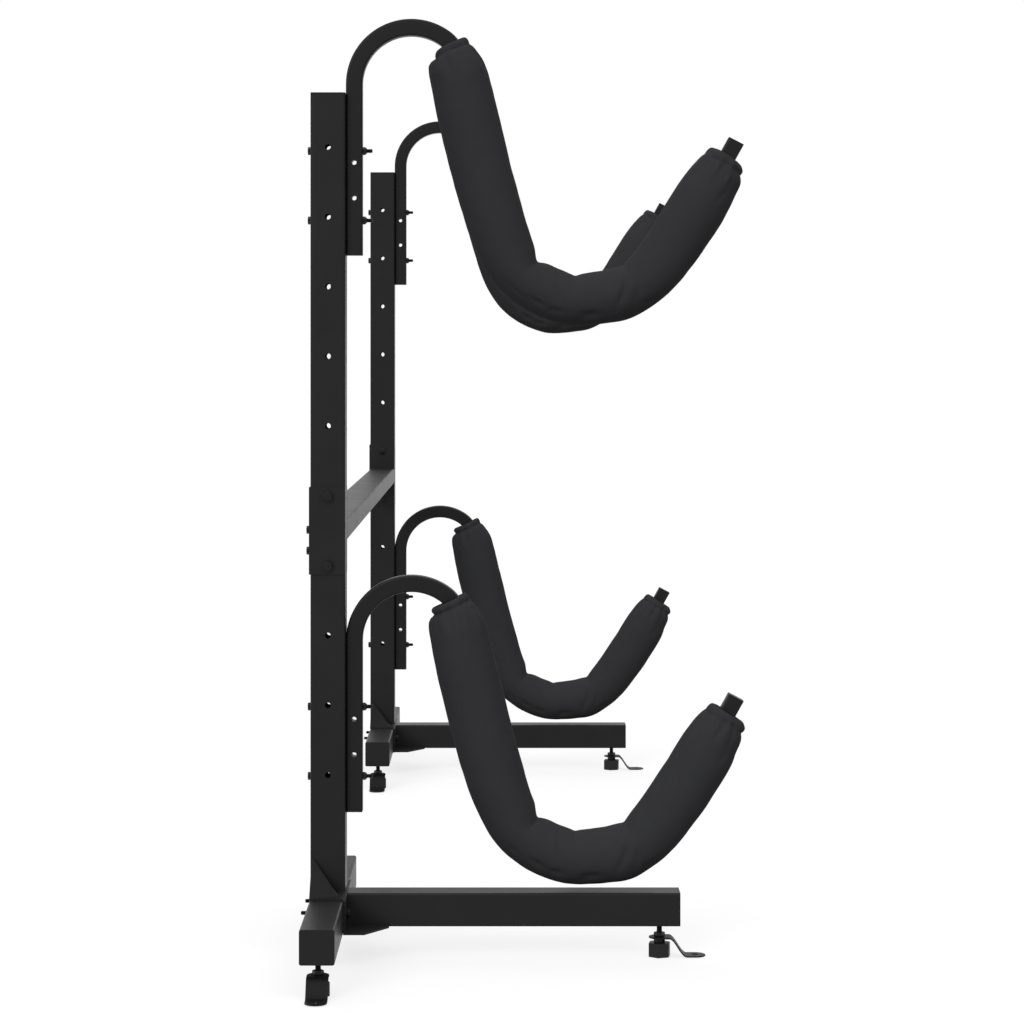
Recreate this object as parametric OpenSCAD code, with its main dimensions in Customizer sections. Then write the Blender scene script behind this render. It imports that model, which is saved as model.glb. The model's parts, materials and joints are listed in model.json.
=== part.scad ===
// Freestanding two-tier kayak rack: two upright frames on T-shaped feet, joined by a
// three-piece crossbar, with four padded J arms bolted to the posts.
// +X runs along the rack, +Y is the loading side, +Z is up. The origin lies on the floor
// below the middle of the whole rack.

/* [Frames] */
// Distance between the middles of the two frames
frame_spacing = 1850; // [1200:10:2200]
// Side of the square post tube
post_side = 50; // [46:1:60]
// Length of the post tube
post_length = 1142; // [1120:1:1200]
// Wall of the post tube
post_wall = 2; // [1.5:0.1:3]
// Side of the square tube of the base and the leg
base_side = 48; // [44:1:56]
// Length of the base tube
base_length = 566; // [480:2:700]
// Wall of the base tube and the leg
base_wall = 2; // [1.5:0.1:3]
// Length of the leg tube in front of its flange
leg_length = 475; // [420:1:560]
// Height of the base tube's underside above the floor
ground_gap = 47; // [45:1:60]
// Outer corner radius of the square tubes
corner_r = 3; // [2:0.5:4]

/* [Brackets] */
// Thickness of the welded plates
plate_t = 3; // [2:0.5:4]
// How far the foot plate and the leg flange reach past the post and the leg
plate_reach = 60; // [50:1:70]
// Height of the braces on the post
brace_height = 50; // [40:1:60]
// Width of the braces along the foot plate
brace_width = 40; // [30:1:46]
// How far the front corner of a brace stands off the post
brace_stand = 38; // [20:1:46]
// How far each leg gusset reaches along the leg
gusset_reach = 60; // [40:1:80]
// Distance of the flange bolts from the middle of the leg
flange_bolt_x = 45; // [36:1:60]

/* [Holes] */
// Diameter of the side holes
hole_d = 8.4; // [8.2:0.1:9]
// Diameter of the holes for the arm and leg bolts
small_hole_d = 6.6; // [6.4:0.1:7]
// Number of rows of holes in a post
hole_rows = 10; // [10:1:11]
// Depth of the first arm bolt below the top of the post
top_row_drop = 80.5; // [70:0.5:100]
// Height of the last arm bolt above the foot of the post
bottom_row_rise = 161.5; // [161:0.5:180]
// Height of the side holes above the arm bolt holes
side_hole_rise = 4.5; // [4:0.1:14]
// Row that the upper bolt of a lower arm uses, counted from 0 at the top
lower_arm_row = 8; // [6:1:8]

/* [Arms] */
// Side of the square arm tube
arm_side = 24; // [20:1:30]
// Wall of the arm tube
arm_wall = 2; // [1.5:0.1:3]
// Length of arm below its lower bolt
arm_tail = 48.5; // [35:0.5:60]
// Height of the hook's middle above the lower arm bolt
hook_rise = 195.5; // [192:0.5:220]
// Bend radius of the hook at the middle of the tube
hook_r = 82; // [70:1:90]
// Bend radius where the hook runs into the pad
shoulder_r = 46; // [44:1:60]
// Length of straight arm between that bend and the full width of the pad
neck = 11; // [5:1:25]
// Length of the inner limb of the cradle
inner_limb = 262.5; // [240:0.5:320]
// Bend radius of the cradle next to the inner limb
cradle_inner_r = 116; // [95:1:140]
// Length of the level stretch at the bottom of the cradle
cradle_level = 16; // [5:1:40]
// Bend radius of the cradle next to the outer limb
cradle_outer_r = 135; // [120:1:160]
// Length of the outer limb of the cradle
outer_limb = 196; // [160:1:260]
// Distance between the two side holes of an arm
arm_hole_gap = 51; // [30:1:60]
// Height of the side holes' middle above the middle of the arm bolts
arm_hole_rise = 7.5; // [0:0.5:12]
// Diameter of the side holes of an arm
arm_hole_d = 7; // [5:0.1:9]

/* [Pads] */
// Outer diameter of the pad
pad_d = 84; // [70:1:90]
// Diameter of the gathered mouth at each end of the pad
pad_mouth_d = 46; // [44:1:52]
// Length of arm tube left bare past the pad
bare_tip = 25; // [15:1:40]
// Space between the pad and the arm tube
pad_clearance = 0.6; // [0.5:0.1:0.9]

/* [Crossbar] */
// Width of the crossbar
bar_width = 50; // [40:1:60]
// Height of the crossbar
bar_height = 30; // [24:1:34]
// Wall of the crossbar
bar_wall = 2; // [1.5:0.1:3]
// Depth of the crossbar's middle below the middle of its bracket
bar_lower = 2; // [0:0.5:4]
// Length of the middle piece of the crossbar
bar_middle = 600; // [300:10:700]
// Gap between two pieces of the crossbar
bar_joint_gap = 1; // [0.5:0.1:2]
// Length of each sleeve inside the crossbar
splice_length = 160; // [100:5:200]
// Space between a sleeve and the inside of the crossbar
sleeve_play = 0.2; // [0.1:0.1:0.4]
// Row of side holes that the upper crossbar bolt uses
bar_row = 5; // [3:1:6]
// Thickness of the bracket that holds the crossbar on the post
bracket_t = 2; // [1.5:0.5:3]
// How far the bracket reaches past its bolts
bracket_margin = 12.5; // [11:0.5:20]
// Depth of the lower bracket screw below the middle of the crossbar
screw_drop = 30; // [20:1:35]

/* [Feet] */
// Diameter of the threaded stem
stem_d = 8; // [6:0.5:8]
// Width across flats of the nuts on the stems
stem_nut_af = 14; // [13:0.5:16]
// Width across flats of the hexagonal foot
foot_af = 29; // [25:1:31]
// Height of the hexagonal foot
foot_height = 20; // [15:0.5:21]
// Height of the collar on the foot
collar_height = 6.5; // [4:0.5:7]
// Distance of the feet from the ends of the tubes
foot_inset = 27; // [24:1:50]
// Width of the anchor tab
tab_width = 28; // [22:1:34]
// Thickness of the anchor tab
tab_t = 2; // [1.5:0.5:2.5]
// Reach of the anchor tab from the stem to its round end
tab_reach = 65; // [60:1:80]
// Diameter of the peg hole in the anchor tab
peg_hole_d = 8.5; // [6:0.5:12]
// Length of its level stretch past the stem
tab_flat = 18; // [12:1:24]
// Length over which it slopes down
tab_slope = 18; // [12:1:24]
// Height of the anchor tab's flat end above the floor
tab_lift = 0.8; // [0.5:0.1:2]
// Space between the anchor tab and the stem
tab_play = 0.3; // [0.2:0.1:0.5]
// Space between the stem and its weld nut
stem_play = 0.05; // [0.02:0.01:0.1]
// Height of the jam nut
jam_nut_height = 6; // [4:0.5:8]
// Height of the weld nut inside the tube
weld_nut_height = 8; // [6:0.5:10]

/* [Fasteners] */
// Diameter of the arm and leg bolts
bolt_d = 6; // [5:0.5:6]
// Width across flats of their heads and nuts
hex_af = 10; // [9:0.5:11]
// Height of their heads
head_height = 4; // [3:0.1:5]
// Height of their lock nuts
nut_height = 6; // [4:0.1:8]
// Diameter of their washers
washer_d = 12; // [11:0.5:14]
// Thickness of every washer
washer_t = 1.2; // [1:0.1:2]
// Length of thread that shows past a lock nut
bolt_tip = 8; // [3:0.5:10]
// Diameter of the crossbar bolts
bar_bolt_d = 8; // [6:0.5:8]
// Width across flats of their heads and nuts
bar_hex_af = 13; // [11:0.5:14]
// Height of their heads
bar_head_height = 5.3; // [4:0.1:6]
// Height of their nuts
bar_nut_height = 6.5; // [5:0.1:8]
// Diameter of their washers
bar_washer_d = 21; // [16:1:24]
// Diameter of the screws that hold the crossbar's sleeves
sleeve_screw_d = 5; // [4:0.5:6]

/* [Hidden] */
$fn = 48;
steel = [0.10, 0.10, 0.11];
plastic = [0.05, 0.05, 0.05];
fabric = [0.13, 0.13, 0.14];
zinc = [0.30, 0.30, 0.31];

SIDES = ["right", "left"];
TIERS = ["upper", "lower"];
FOOT_SPOTS = ["front", "outer", "inner"];

// Shape of an arm in degrees: the hook turns down, and each limb leans and bows a little
hook_turn = 126.5;
limb_lean = 9;
limb_bow = 8;
shoulder_turn = 180 - hook_turn - limb_lean;
cradle_rise = 56.5;
outer_bow = 6;
mouth_turn = 29;
mouth_tilt = 12;
tip_mouth_gain = 4;

cap_t = 2;

// Foam sleeve in a fabric cover: a hem and a drawn-in shoulder at each end, round in between.
// Each ring is [distance from the end of the pad, radius, tilt towards the pad's middle].
PAD_END = [
    [0, pad_mouth_d / 2 - 1, 1], [3, pad_mouth_d / 2 + 1, 1], [7, pad_mouth_d / 2, 1],
    [11, pad_mouth_d * 0.3 + pad_d * 0.16, 1], [17, pad_mouth_d * 0.13 + pad_d * 0.33, 0.7],
    [26, pad_d * 0.465, 0.4], [38, pad_d * 0.49, 0.2], [50, pad_d / 2, 0]
];
pad_sides = 16;
pad_middle_rings = 28;
bore_step = 14;
bore_fine_step = 5;
pad_from = path_length(hook_steps()) - neck - shoulder_r * mouth_turn * PI / 180;
pad_to = path_length(arm_steps()) - bare_tip;
pad_run = pad_to - pad_from;
end_run = PAD_END[len(PAD_END) - 1][0];

// Heights
hole_pitch = (post_length - top_row_drop - bottom_row_rise) / (hole_rows - 1);
base_top = ground_gap + base_side;
post_bottom = base_top + plate_t;
post_top = post_bottom + post_length;
bar_z = side_row_z(bar_row) - hole_pitch / 2;
bar_level = bar_z - bar_lower;
bracket_height = hole_pitch + 2 * bracket_margin;
function row_z(row) = post_top - top_row_drop - row * hole_pitch;
function side_row_z(row) = row_z(row) + side_hole_rise;

// Depths, measured from the back of the post and shifted so that the rack is centred
post_y = post_side / 2;
base_y = post_side - base_side / 2;
arm_y = post_side + arm_side / 2;
rear_reach = post_side - base_side - nut_height - bolt_tip;
tip = path_end(arm_steps(), [0, 0, 90]);
tip_reach = tip.x + arm_side / 2 * sin(tip.z) + cap_t * cos(tip.z);
pad_reach = max([for (r = pad_rings()) ring_reach(path_at(arm_steps(), r[0]), r[1], r[2])]);
front_reach = arm_y + max(tip_reach, pad_reach);
y_shift = -(rear_reach + front_reach) / 2;
function ring_reach(at, r, tilt) = at.x + r * sin(at.z + tilt);
arm_inside = arm_side - 2 * arm_wall;
bar_end = frame_spacing / 2 - post_side / 2 - bracket_t;
leg_start = post_side + plate_t;
leg_end = leg_start + leg_length;
plate_half = base_side / 2 + plate_reach;
leg_z = ground_gap + base_side / 2;

// Heights on the feet
stem_bottom = foot_height / 2;
stem_top = ground_gap + base_wall + weld_nut_height + 20;
tab_z = foot_height + collar_height + tab_play;

// A path is a list of [radius, amount]: radius 0 is a straight run of that length, a
// positive radius turns left by that angle, and a negative radius turns right.
function bow_r(run, angle) = run / (angle * PI / 180);
function hook_steps() = [
    [0, arm_tail + hook_rise],
    [-hook_r, hook_turn],
    [-shoulder_r, shoulder_turn],
    [0, neck]
];
function cradle_steps() = [
    [bow_r(inner_limb, limb_bow), limb_bow],
    [cradle_inner_r, 90 - limb_lean - limb_bow],
    [0, cradle_level],
    [cradle_outer_r, cradle_rise]
];
function arm_steps() =
    concat(hook_steps(), cradle_steps(), [[bow_r(outer_limb, outer_bow), outer_bow]]);

function step_end(p, s) =
    s[0] == 0
    ? [p.x + s[1] * cos(p.z), p.y + s[1] * sin(p.z), p.z]
    : let (h = p.z + sign(s[0]) * s[1])
      [p.x - s[0] * sin(p.z) + s[0] * sin(h), p.y + s[0] * cos(p.z) - s[0] * cos(h), h];
function path_end(steps, p, i = 0) =
    i == len(steps) ? p : path_end(steps, step_end(p, steps[i]), i + 1);

// The point and heading at a distance along a path
function step_length(s) = s[0] == 0 ? s[1] : abs(s[0]) * s[1] * PI / 180;
function path_length(steps, i = 0) =
    i == len(steps) ? 0 : step_length(steps[i]) + path_length(steps, i + 1);
function path_at(steps, run, p = [0, 0, 90], i = 0) =
    run <= step_length(steps[i]) || i == len(steps) - 1
    ? step_end(p, [steps[i][0], steps[i][1] * run / step_length(steps[i])])
    : path_at(steps, run - step_length(steps[i]), step_end(p, steps[i]), i + 1);

// Bar of square section along a path that starts at the origin and heads along +Y. A short
// collar at the start of each step, a hair wider than the bar, joins the steps into one solid.
module bent_bar(steps, side, i = 0) {
    if (i < len(steps)) {
        linear_extrude(side, center = true) bar_outline(steps[i], side);
        if (i > 0) joining_collar(side);
        past(steps[i]) bent_bar(steps, side, i + 1);
    }
}

module joining_collar(side) {
    cube([side + 0.04, 2, side + 0.04], center = true);
}

module bar_outline(step, side) {
    if (step[0] == 0)
        translate([-side / 2, 0]) square([side, step[1]]);
    else if (step[0] > 0)
        translate([-step[0], 0]) sector(step[0], step[1], side);
    else
        mirror([1, 0]) translate([step[0], 0]) sector(-step[0], step[1], side);
}

module sector(r, angle, width) {
    far = 2 * (r + width);
    intersection() {
        difference() {
            circle(r + width / 2, $fn = 256);
            circle(r - width / 2, $fn = 256);
        }
        polygon(concat(
            [[0, 0]],
            [for (a = [0 : angle / 4 : angle + 0.001]) far * [cos(a), sin(a)]]
        ));
    }
}

// Moves its children to the end of one step of a path
module past(step) {
    if (step[0] == 0)
        translate([0, step[1], 0]) children();
    else
        translate([-step[0], 0, 0]) rotate(sign(step[0]) * step[1])
            translate([step[0], 0, 0]) children();
}

// Moves its children to the end of a whole path
module past_all(steps, i = 0) {
    if (i < len(steps)) past(steps[i]) past_all(steps, i + 1) children();
    else children();
}

module round_square(w, h, r) {
    square([w - 2 * r, h], center = true);
    square([w, h - 2 * r], center = true);
    for (x = [-1, 1], y = [-1, 1])
        translate([x * (w / 2 - r), y * (h / 2 - r)]) circle(r);
}

module tube_section(w, h, wall, r = corner_r) {
    difference() {
        round_square(w, h, r);
        round_square(w - 2 * wall, h - 2 * wall, r / 2);
    }
}

module hexagon(af, height) {
    cylinder(d = af / cos(30), h = height, $fn = 6);
}

// A bolt along +Z with its washer and nut: the grip lies between z = 0 and z = grip
module bolt(grip, tip_length = bolt_tip) {
    translate([0, 0, -washer_t]) washer(washer_d, bolt_d);
    translate([0, 0, -washer_t - head_height]) hexagon(hex_af, head_height);
    translate([0, 0, -washer_t])
        cylinder(d = bolt_d, h = washer_t + grip + nut_height + tip_length);
    translate([0, 0, grip]) nut(hex_af, nut_height, bolt_d);
}

module nut(af, height, thread_d) {
    difference() {
        hexagon(af, height);
        translate([0, 0, -1]) cylinder(d = thread_d, h = height + 2);
    }
}

module washer(outer_d, inner_d) {
    difference() {
        cylinder(d = outer_d, h = washer_t);
        translate([0, 0, -1]) cylinder(d = inner_d, h = washer_t + 2);
    }
}

// A plastic plug along +Z that closes a square tube whose end is at z = 0
module plug(side, wall, depth = 16) {
    grip = side - 2 * wall - 0.4;
    linear_extrude(cap_t) round_square(side, side, corner_r);
    translate([0, 0, -depth]) linear_extrude(depth) tube_section(grip, grip, 2, corner_r / 2);
}

module frame_at(side) {
    translate([(side == "right" ? 1 : -1) * frame_spacing / 2, y_shift, 0]) children();
}

// Sign of the X direction that points away from the other frame
function outward(side) = side == "right" ? 1 : -1;

module post() {
    color(steel) difference() {
        translate([0, post_y, post_bottom]) linear_extrude(post_length)
            tube_section(post_side, post_side, post_wall);
        for (row = [0 : hole_rows - 1]) {
            translate([0, post_y, side_row_z(row)]) rotate([0, 90, 0])
                cylinder(d = hole_d, h = post_side + 2, center = true);
            translate([0, post_y, row_z(row)]) rotate([90, 0, 0])
                cylinder(d = small_hole_d, h = post_side + 2, center = true);
        }
        for (drop = [0, screw_drop])
            translate([0, -1, bar_z - drop]) rotate([-90, 0, 0])
                cylinder(d = small_hole_d, h = post_wall + 2);
    }
}

module post_cap() {
    color(plastic) translate([0, post_y, post_top]) plug(post_side, post_wall);
}

// Foot plate between the post and the base tube, with a leaning brace on each side
module post_foot() {
    color(steel) {
        translate([-plate_half, post_side - base_side, base_top])
            cube([2 * plate_half, base_side, plate_t]);
        for (s = [-1, 1]) brace(s);
    }
}

// Flat brace that leans from the back of the post down to the end of the foot plate
module brace(s) {
    sunk = 0.5;
    back = post_side - base_side;
    top = post_bottom + brace_height;
    foot_z = post_bottom - sunk;
    corners = [
        [post_side / 2, back, top],
        [post_side / 2 + brace_stand, back + brace_width, foot_z],
        [plate_half - plate_t, back, foot_z]
    ];
    behind = [[0, 0, -1.6 * plate_t], [-1.4 * plate_t, 0, 0], [-1.6 * plate_t, 0, 0]];
    points = [for (p = concat(corners, corners + behind)) [s * p.x, p.y, p.z]];
    faces = [
        [0, 1, 2], [5, 4, 3], [0, 3, 4], [0, 4, 1],
        [1, 4, 5], [1, 5, 2], [2, 5, 3], [2, 3, 0]
    ];
    polyhedron(points, s > 0 ? faces : [for (f = faces) [f[2], f[1], f[0]]]);
}

module base_tube() {
    color(steel) difference() {
        translate([0, base_y, leg_z]) rotate([0, 90, 0])
            linear_extrude(base_length, center = true)
                tube_section(base_side, base_side, base_wall);
        for (s = [-1, 1]) {
            translate([s * (base_length / 2 - foot_inset), base_y, ground_gap - 1])
                cylinder(d = stem_d + 0.5, h = base_wall + 2);
            translate([s * flange_bolt_x, base_y, leg_z]) rotate([90, 0, 0])
                cylinder(d = small_hole_d, h = base_side + 2, center = true);
        }
    }
}

module base_caps() {
    color(plastic) {
        for (s = [-1, 1])
            translate([s * base_length / 2, base_y, leg_z]) rotate([0, s * 90, 0])
                plug(base_side, base_wall);
        translate([0, leg_end, leg_z]) rotate([-90, 0, 0]) plug(base_side, base_wall);
    }
}

module leg() {
    color(steel) difference() {
        translate([0, leg_start, leg_z]) rotate([-90, 0, 0])
            linear_extrude(leg_length) tube_section(base_side, base_side, base_wall);
        translate([0, leg_end - foot_inset, ground_gap - 1])
            cylinder(d = stem_d + 0.5, h = base_wall + 2);
    }
}

// Upright flange bolted to the base tube, with a level gusset on each side of the leg
module leg_flange() {
    straight = gusset_reach * 0.45;
    nose = 10;
    color(steel) difference() {
        union() {
            translate([-plate_half, post_side, ground_gap])
                cube([2 * plate_half, plate_t, base_side]);
            for (s = [-1, 1])
                translate([0, leg_start, ground_gap]) linear_extrude(plate_t)
                    polygon([for (p = [
                        [base_side / 2, 0], [plate_half, 0], [plate_half, straight],
                        [base_side / 2 + nose, gusset_reach], [base_side / 2, gusset_reach]
                    ]) [s * p.x, p.y]]);
        }
        for (s = [-1, 1])
            translate([s * flange_bolt_x, leg_start + 1, leg_z]) rotate([90, 0, 0])
                cylinder(d = small_hole_d, h = plate_t + 2);
    }
}

module leg_bolts() {
    color(zinc) for (s = [-1, 1])
        translate([s * flange_bolt_x, leg_start, leg_z]) rotate([90, 0, 0])
            bolt(plate_t + base_side);
}

// Saddle that wraps the post from behind and carries the end of the crossbar
module bar_bracket() {
    outer = post_side + 2 * bracket_t;
    color(steel) difference() {
        translate([-outer / 2, -bracket_t, bar_z - bracket_height / 2])
            cube([outer, post_side + bracket_t, bracket_height]);
        translate([-post_side / 2, 0, bar_z - bracket_height / 2 - 1])
            cube([post_side, post_side + 1, bracket_height + 2]);
        for (rise = [-1, 1])
            translate([0, post_y, bar_z + rise * hole_pitch / 2]) rotate([0, 90, 0])
                cylinder(d = hole_d, h = outer + 2, center = true);
        for (drop = [0, screw_drop])
            translate([0, 1, bar_z - drop]) rotate([90, 0, 0])
                cylinder(d = small_hole_d, h = bracket_t + 2);
    }
}

// Two bolts through the post along X, and two short screws through the back of the saddle
module bar_bolts(side) {
    grip = post_side + 2 * bracket_t;
    color(zinc) {
        for (rise = [-1, 1])
            translate([outward(side) * grip / 2, post_y, bar_z + rise * hole_pitch / 2])
                rotate([0, -outward(side) * 90, 0]) {
                    translate([0, 0, -washer_t]) washer(bar_washer_d, bar_bolt_d);
                    translate([0, 0, -washer_t - bar_head_height])
                        hexagon(bar_hex_af, bar_head_height);
                    translate([0, 0, -washer_t])
                        cylinder(d = bar_bolt_d, h = washer_t + grip + bar_nut_height + 2);
                    translate([0, 0, grip]) nut(bar_hex_af, bar_nut_height, bar_bolt_d);
                }
        for (drop = [0, screw_drop])
            translate([0, -bracket_t, bar_z - drop]) rotate([-90, 0, 0])
                bolt(post_wall + bracket_t, 2);
    }
}

// Weld nuts inside the tubes, above each foot
module foot_nuts(side) {
    color(zinc) for (spot = FOOT_SPOTS)
        foot_at(side, spot) translate([0, 0, ground_gap + base_wall])
            nut(stem_nut_af, weld_nut_height, stem_d + 2 * stem_play);
}

// Moves its children to a foot of a frame, with +X pointing along the foot's anchor tab
module foot_at(side, spot) {
    s = (spot == "outer" ? 1 : -1) * outward(side);
    if (spot == "front")
        translate([0, leg_end - foot_inset, 0]) rotate(90) children();
    else
        translate([s * (base_length / 2 - foot_inset), base_y, 0])
            rotate(s > 0 ? 0 : 180) children();
}

module foot() {
    color(plastic) difference() {
        hexagon(foot_af, foot_height);
        translate([0, 0, stem_bottom]) cylinder(d = stem_d, h = foot_height);
    }
}

// Threaded stem with a collar under the anchor tab and a jam nut over it
module stem() {
    color(zinc) {
        translate([0, 0, stem_bottom]) cylinder(d = stem_d, h = stem_top - stem_bottom);
        translate([0, 0, foot_height]) hexagon(stem_nut_af, collar_height);
        translate([0, 0, tab_z + tab_t + tab_play]) hexagon(stem_nut_af, jam_nut_height);
    }
}

// Bent strap with a round end and a hole for a ground peg
module tab() {
    end_r = tab_width / 2;
    slope_end = tab_flat + tab_slope;
    color(steel) difference() {
        intersection() {
            rotate([90, 0, 0]) linear_extrude(tab_width, center = true) polygon([
                [-end_r, tab_z], [tab_flat, tab_z], [slope_end, tab_lift], [tab_reach, tab_lift],
                [tab_reach, tab_lift + tab_t], [slope_end + tab_t / 2, tab_lift + tab_t],
                [tab_flat + tab_t / 2, tab_z + tab_t], [-end_r, tab_z + tab_t]
            ]);
            linear_extrude(tab_z + tab_t + 1) {
                circle(end_r);
                translate([0, -end_r]) square([tab_reach - end_r, tab_width]);
                translate([tab_reach - end_r, 0]) circle(end_r);
            }
        }
        translate([0, 0, tab_z - 1]) cylinder(d = stem_d + 2 * tab_play, h = tab_t + 2);
        translate([tab_reach - end_r, 0, tab_lift - 1]) cylinder(d = peg_hole_d, h = tab_t + 2);
    }
}

module arm_path_at(tier) {
    first = tier == "upper" ? 0 : lower_arm_row;
    translate([0, arm_y, row_z(first + 1) - arm_tail]) rotate([90, 0, 90]) children();
}

module arm(tier) {
    first = tier == "upper" ? 0 : lower_arm_row;
    holes_z = (row_z(first) + row_z(first + 1)) / 2 + arm_hole_rise;
    color(steel) difference() {
        arm_path_at(tier) bent_bar(arm_steps(), arm_side);
        arm_path_at(tier) {
            bent_bar(arm_steps(), arm_inside);
            joining_collar(arm_inside);
            past_all(arm_steps()) joining_collar(arm_inside);
        }
        for (row = [first, first + 1])
            translate([0, arm_y, row_z(row)]) rotate([90, 0, 0])
                cylinder(d = small_hole_d, h = arm_side + 2, center = true);
        for (rise = [-1, 1])
            translate([0, arm_y, holes_z + rise * arm_hole_gap / 2]) rotate([0, 90, 0])
                cylinder(d = arm_hole_d, h = arm_side + 2, center = true);
    }
}

module arm_caps(tier) {
    color(plastic) arm_path_at(tier) {
        rotate([90, 0, 0]) arm_plug();
        past_all(arm_steps()) rotate([-90, 0, 0]) arm_plug();
    }
}

module arm_plug() {
    grip = arm_inside - 0.4;
    linear_extrude(cap_t) round_square(arm_side, arm_side, 2);
    translate([0, 0, -10]) linear_extrude(10) round_square(grip, grip, 1);
}

function pad_rings() = concat(
    [for (e = PAD_END) [pad_from + e[0], e[1], -e[2] * mouth_tilt]],
    [for (i = [1 : pad_middle_rings - 1])
        [pad_from + end_run + (pad_run - 2 * end_run) * i / pad_middle_rings, pad_d / 2, 0]],
    [for (i = [len(PAD_END) - 1 : -1 : 0]) let (e = PAD_END[i])
        [pad_to - e[0], e[1] + tip_mouth_gain * e[2], 0]]
);
function bore_runs() = concat(
    [for (run = [0 : bore_fine_step : neck + shoulder_r]) pad_from + run],
    let (rest = pad_run - neck - shoulder_r, count = ceil(rest / bore_step))
    [for (i = [1 : count]) pad_to - rest * (count - i) / count]
);

// Points of one ring, which starts at an angle: round, or the four corners of the square bore
function ring_points(r, sides, start = 0) =
    [for (k = [0 : sides - 1]) let (a = start + 360 * k / sides) r * [cos(a), sin(a)]];
function place_ring(ring, at, tilt = 0) =
    [for (c = ring) [at.x + c.x * sin(at.z + tilt), at.y - c.x * cos(at.z + tilt), c.y]];

// Triangles between ring a and ring a + 1 of a tube of rings whose points start at index base
function tube_faces(base, rings, sides, out) = [
    for (a = [0 : rings - 2], k = [0 : sides - 1])
        let (p = base + a * sides + k, q = base + a * sides + (k + 1) % sides)
        for (f = [[p, q, q + sides], [p, q + sides, p + sides]]) out ? f : [f[2], f[1], f[0]]
];
// Triangles of the flat end between a round ring and the square bore
function end_faces(outer, inner, sides, flip) = [
    for (j = [0 : 3], k = [0 : sides / 4])
        let (
            o = outer + (j * sides / 4 + k) % sides,
            f = k < sides / 4
                ? [o, inner + j, outer + (j * sides / 4 + k + 1) % sides]
                : [o, inner + j, inner + (j + 1) % 4]
        )
        flip ? [f[2], f[1], f[0]] : f
];

module pad(tier) {
    half = arm_side / 2 + pad_clearance;
    rings = pad_rings();
    bores = bore_runs();
    corners = ring_points(sqrt(2) * half, 4, 45);
    outer_points = [for (r = rings)
        each place_ring(ring_points(r[1], pad_sides), path_at(arm_steps(), r[0]), r[2])];
    inner_points = [for (run = bores) each place_ring(corners, path_at(arm_steps(), run))];
    first_bore = len(rings) * pad_sides;
    last_ring = (len(rings) - 1) * pad_sides;
    last_bore = first_bore + (len(bores) - 1) * 4;
    color(fabric) arm_path_at(tier) polyhedron(
        concat(outer_points, inner_points),
        concat(
            tube_faces(0, len(rings), pad_sides, true),
            tube_faces(first_bore, len(bores), 4, false),
            end_faces(0, first_bore, pad_sides, false),
            end_faces(last_ring, last_bore, pad_sides, true)
        )
    );
}

module arm_bolts(tier) {
    first = tier == "upper" ? 0 : lower_arm_row;
    color(zinc) for (row = [first, first + 1])
        translate([0, 0, row_z(row)]) rotate([-90, 0, 0]) bolt(post_side + arm_side);
}

module bar_piece(x0, x1) {
    color(steel) difference() {
        translate([x0, y_shift + post_y, bar_level]) rotate([0, 90, 0])
            linear_extrude(x1 - x0) tube_section(bar_height, bar_width, bar_wall);
        sleeve_holes(bar_wall + 1);
    }
}

// Places of the two screws in each sleeve, on the underside of the crossbar
module at_sleeve_screws() {
    for (s = [-1, 1], end = [-1, 1])
        translate([s * bar_middle / 2 + end * splice_length / 4, y_shift + post_y, 0])
            translate([0, 0, bar_level - bar_height / 2]) children();
}

module sleeve_holes(depth) {
    at_sleeve_screws() translate([0, 0, -1]) cylinder(d = sleeve_screw_d + 0.2, h = depth + 1);
}

// Sleeves inside the crossbar, each held by two screws from below
module crossbar_sleeves() {
    w = bar_width - 2 * bar_wall - 2 * sleeve_play;
    h = bar_height - 2 * bar_wall - 2 * sleeve_play;
    color(steel) difference() {
        for (s = [-1, 1])
            translate([s * bar_middle / 2, y_shift + post_y, bar_level]) rotate([0, 90, 0])
                linear_extrude(splice_length, center = true)
                    tube_section(h, w, bar_wall, corner_r / 2);
        sleeve_holes(2 * bar_wall + 1);
    }
    color(zinc) at_sleeve_screws() {
        translate([0, 0, -sleeve_screw_d / 2])
            cylinder(d = 2 * sleeve_screw_d, h = sleeve_screw_d / 2);
        cylinder(d = sleeve_screw_d, h = 3 * bar_wall);
    }
}

module on_frames(part) {
    for (side = SIDES)
        frame_at(side) children();
}

on_frames("post") post();
on_frames("post_cap") post_cap();
on_frames("post_foot") post_foot();
on_frames("base_tube") base_tube();
on_frames("base_caps") base_caps();
on_frames("leg") leg();
on_frames("leg_flange") leg_flange();
on_frames("leg_bolts") leg_bolts();
on_frames("bar_bracket") bar_bracket();
for (side = SIDES) {
    frame_at(side) bar_bolts(side);
    frame_at(side) foot_nuts(side);
    for (tier = TIERS) {
        name = str(tier, "_", side);
        frame_at(side) arm(tier);
        frame_at(side) arm_caps(tier);
        frame_at(side) pad(tier);
        frame_at(side) arm_bolts(tier);
    }
    for (spot = FOOT_SPOTS) {
        name = str(side, "_", spot);
        frame_at(side) foot_at(side, spot) foot();
        frame_at(side) foot_at(side, spot) stem();
        frame_at(side) foot_at(side, spot) tab();
    }
}
bar_piece(-bar_middle / 2 + bar_joint_gap / 2, bar_middle / 2 - bar_joint_gap / 2);  // crossbar_middle
bar_piece(bar_middle / 2 + bar_joint_gap / 2, bar_end);  // crossbar_right
bar_piece(-bar_end, -bar_middle / 2 - bar_joint_gap / 2);  // crossbar_left
crossbar_sleeves();
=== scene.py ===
"""Looks of a freestanding two-tier kayak rack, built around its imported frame.

+X runs along the crossbar, +Y is the loading side and +Z is up. Lengths are in metres and
angles in degrees. The camera looks along -X, past the right frame at the left one.
"""

import json
import logging
import math
from dataclasses import dataclass, field
from enum import Enum

import bmesh
import bpy
from mathutils import Matrix, Vector, noise

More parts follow.
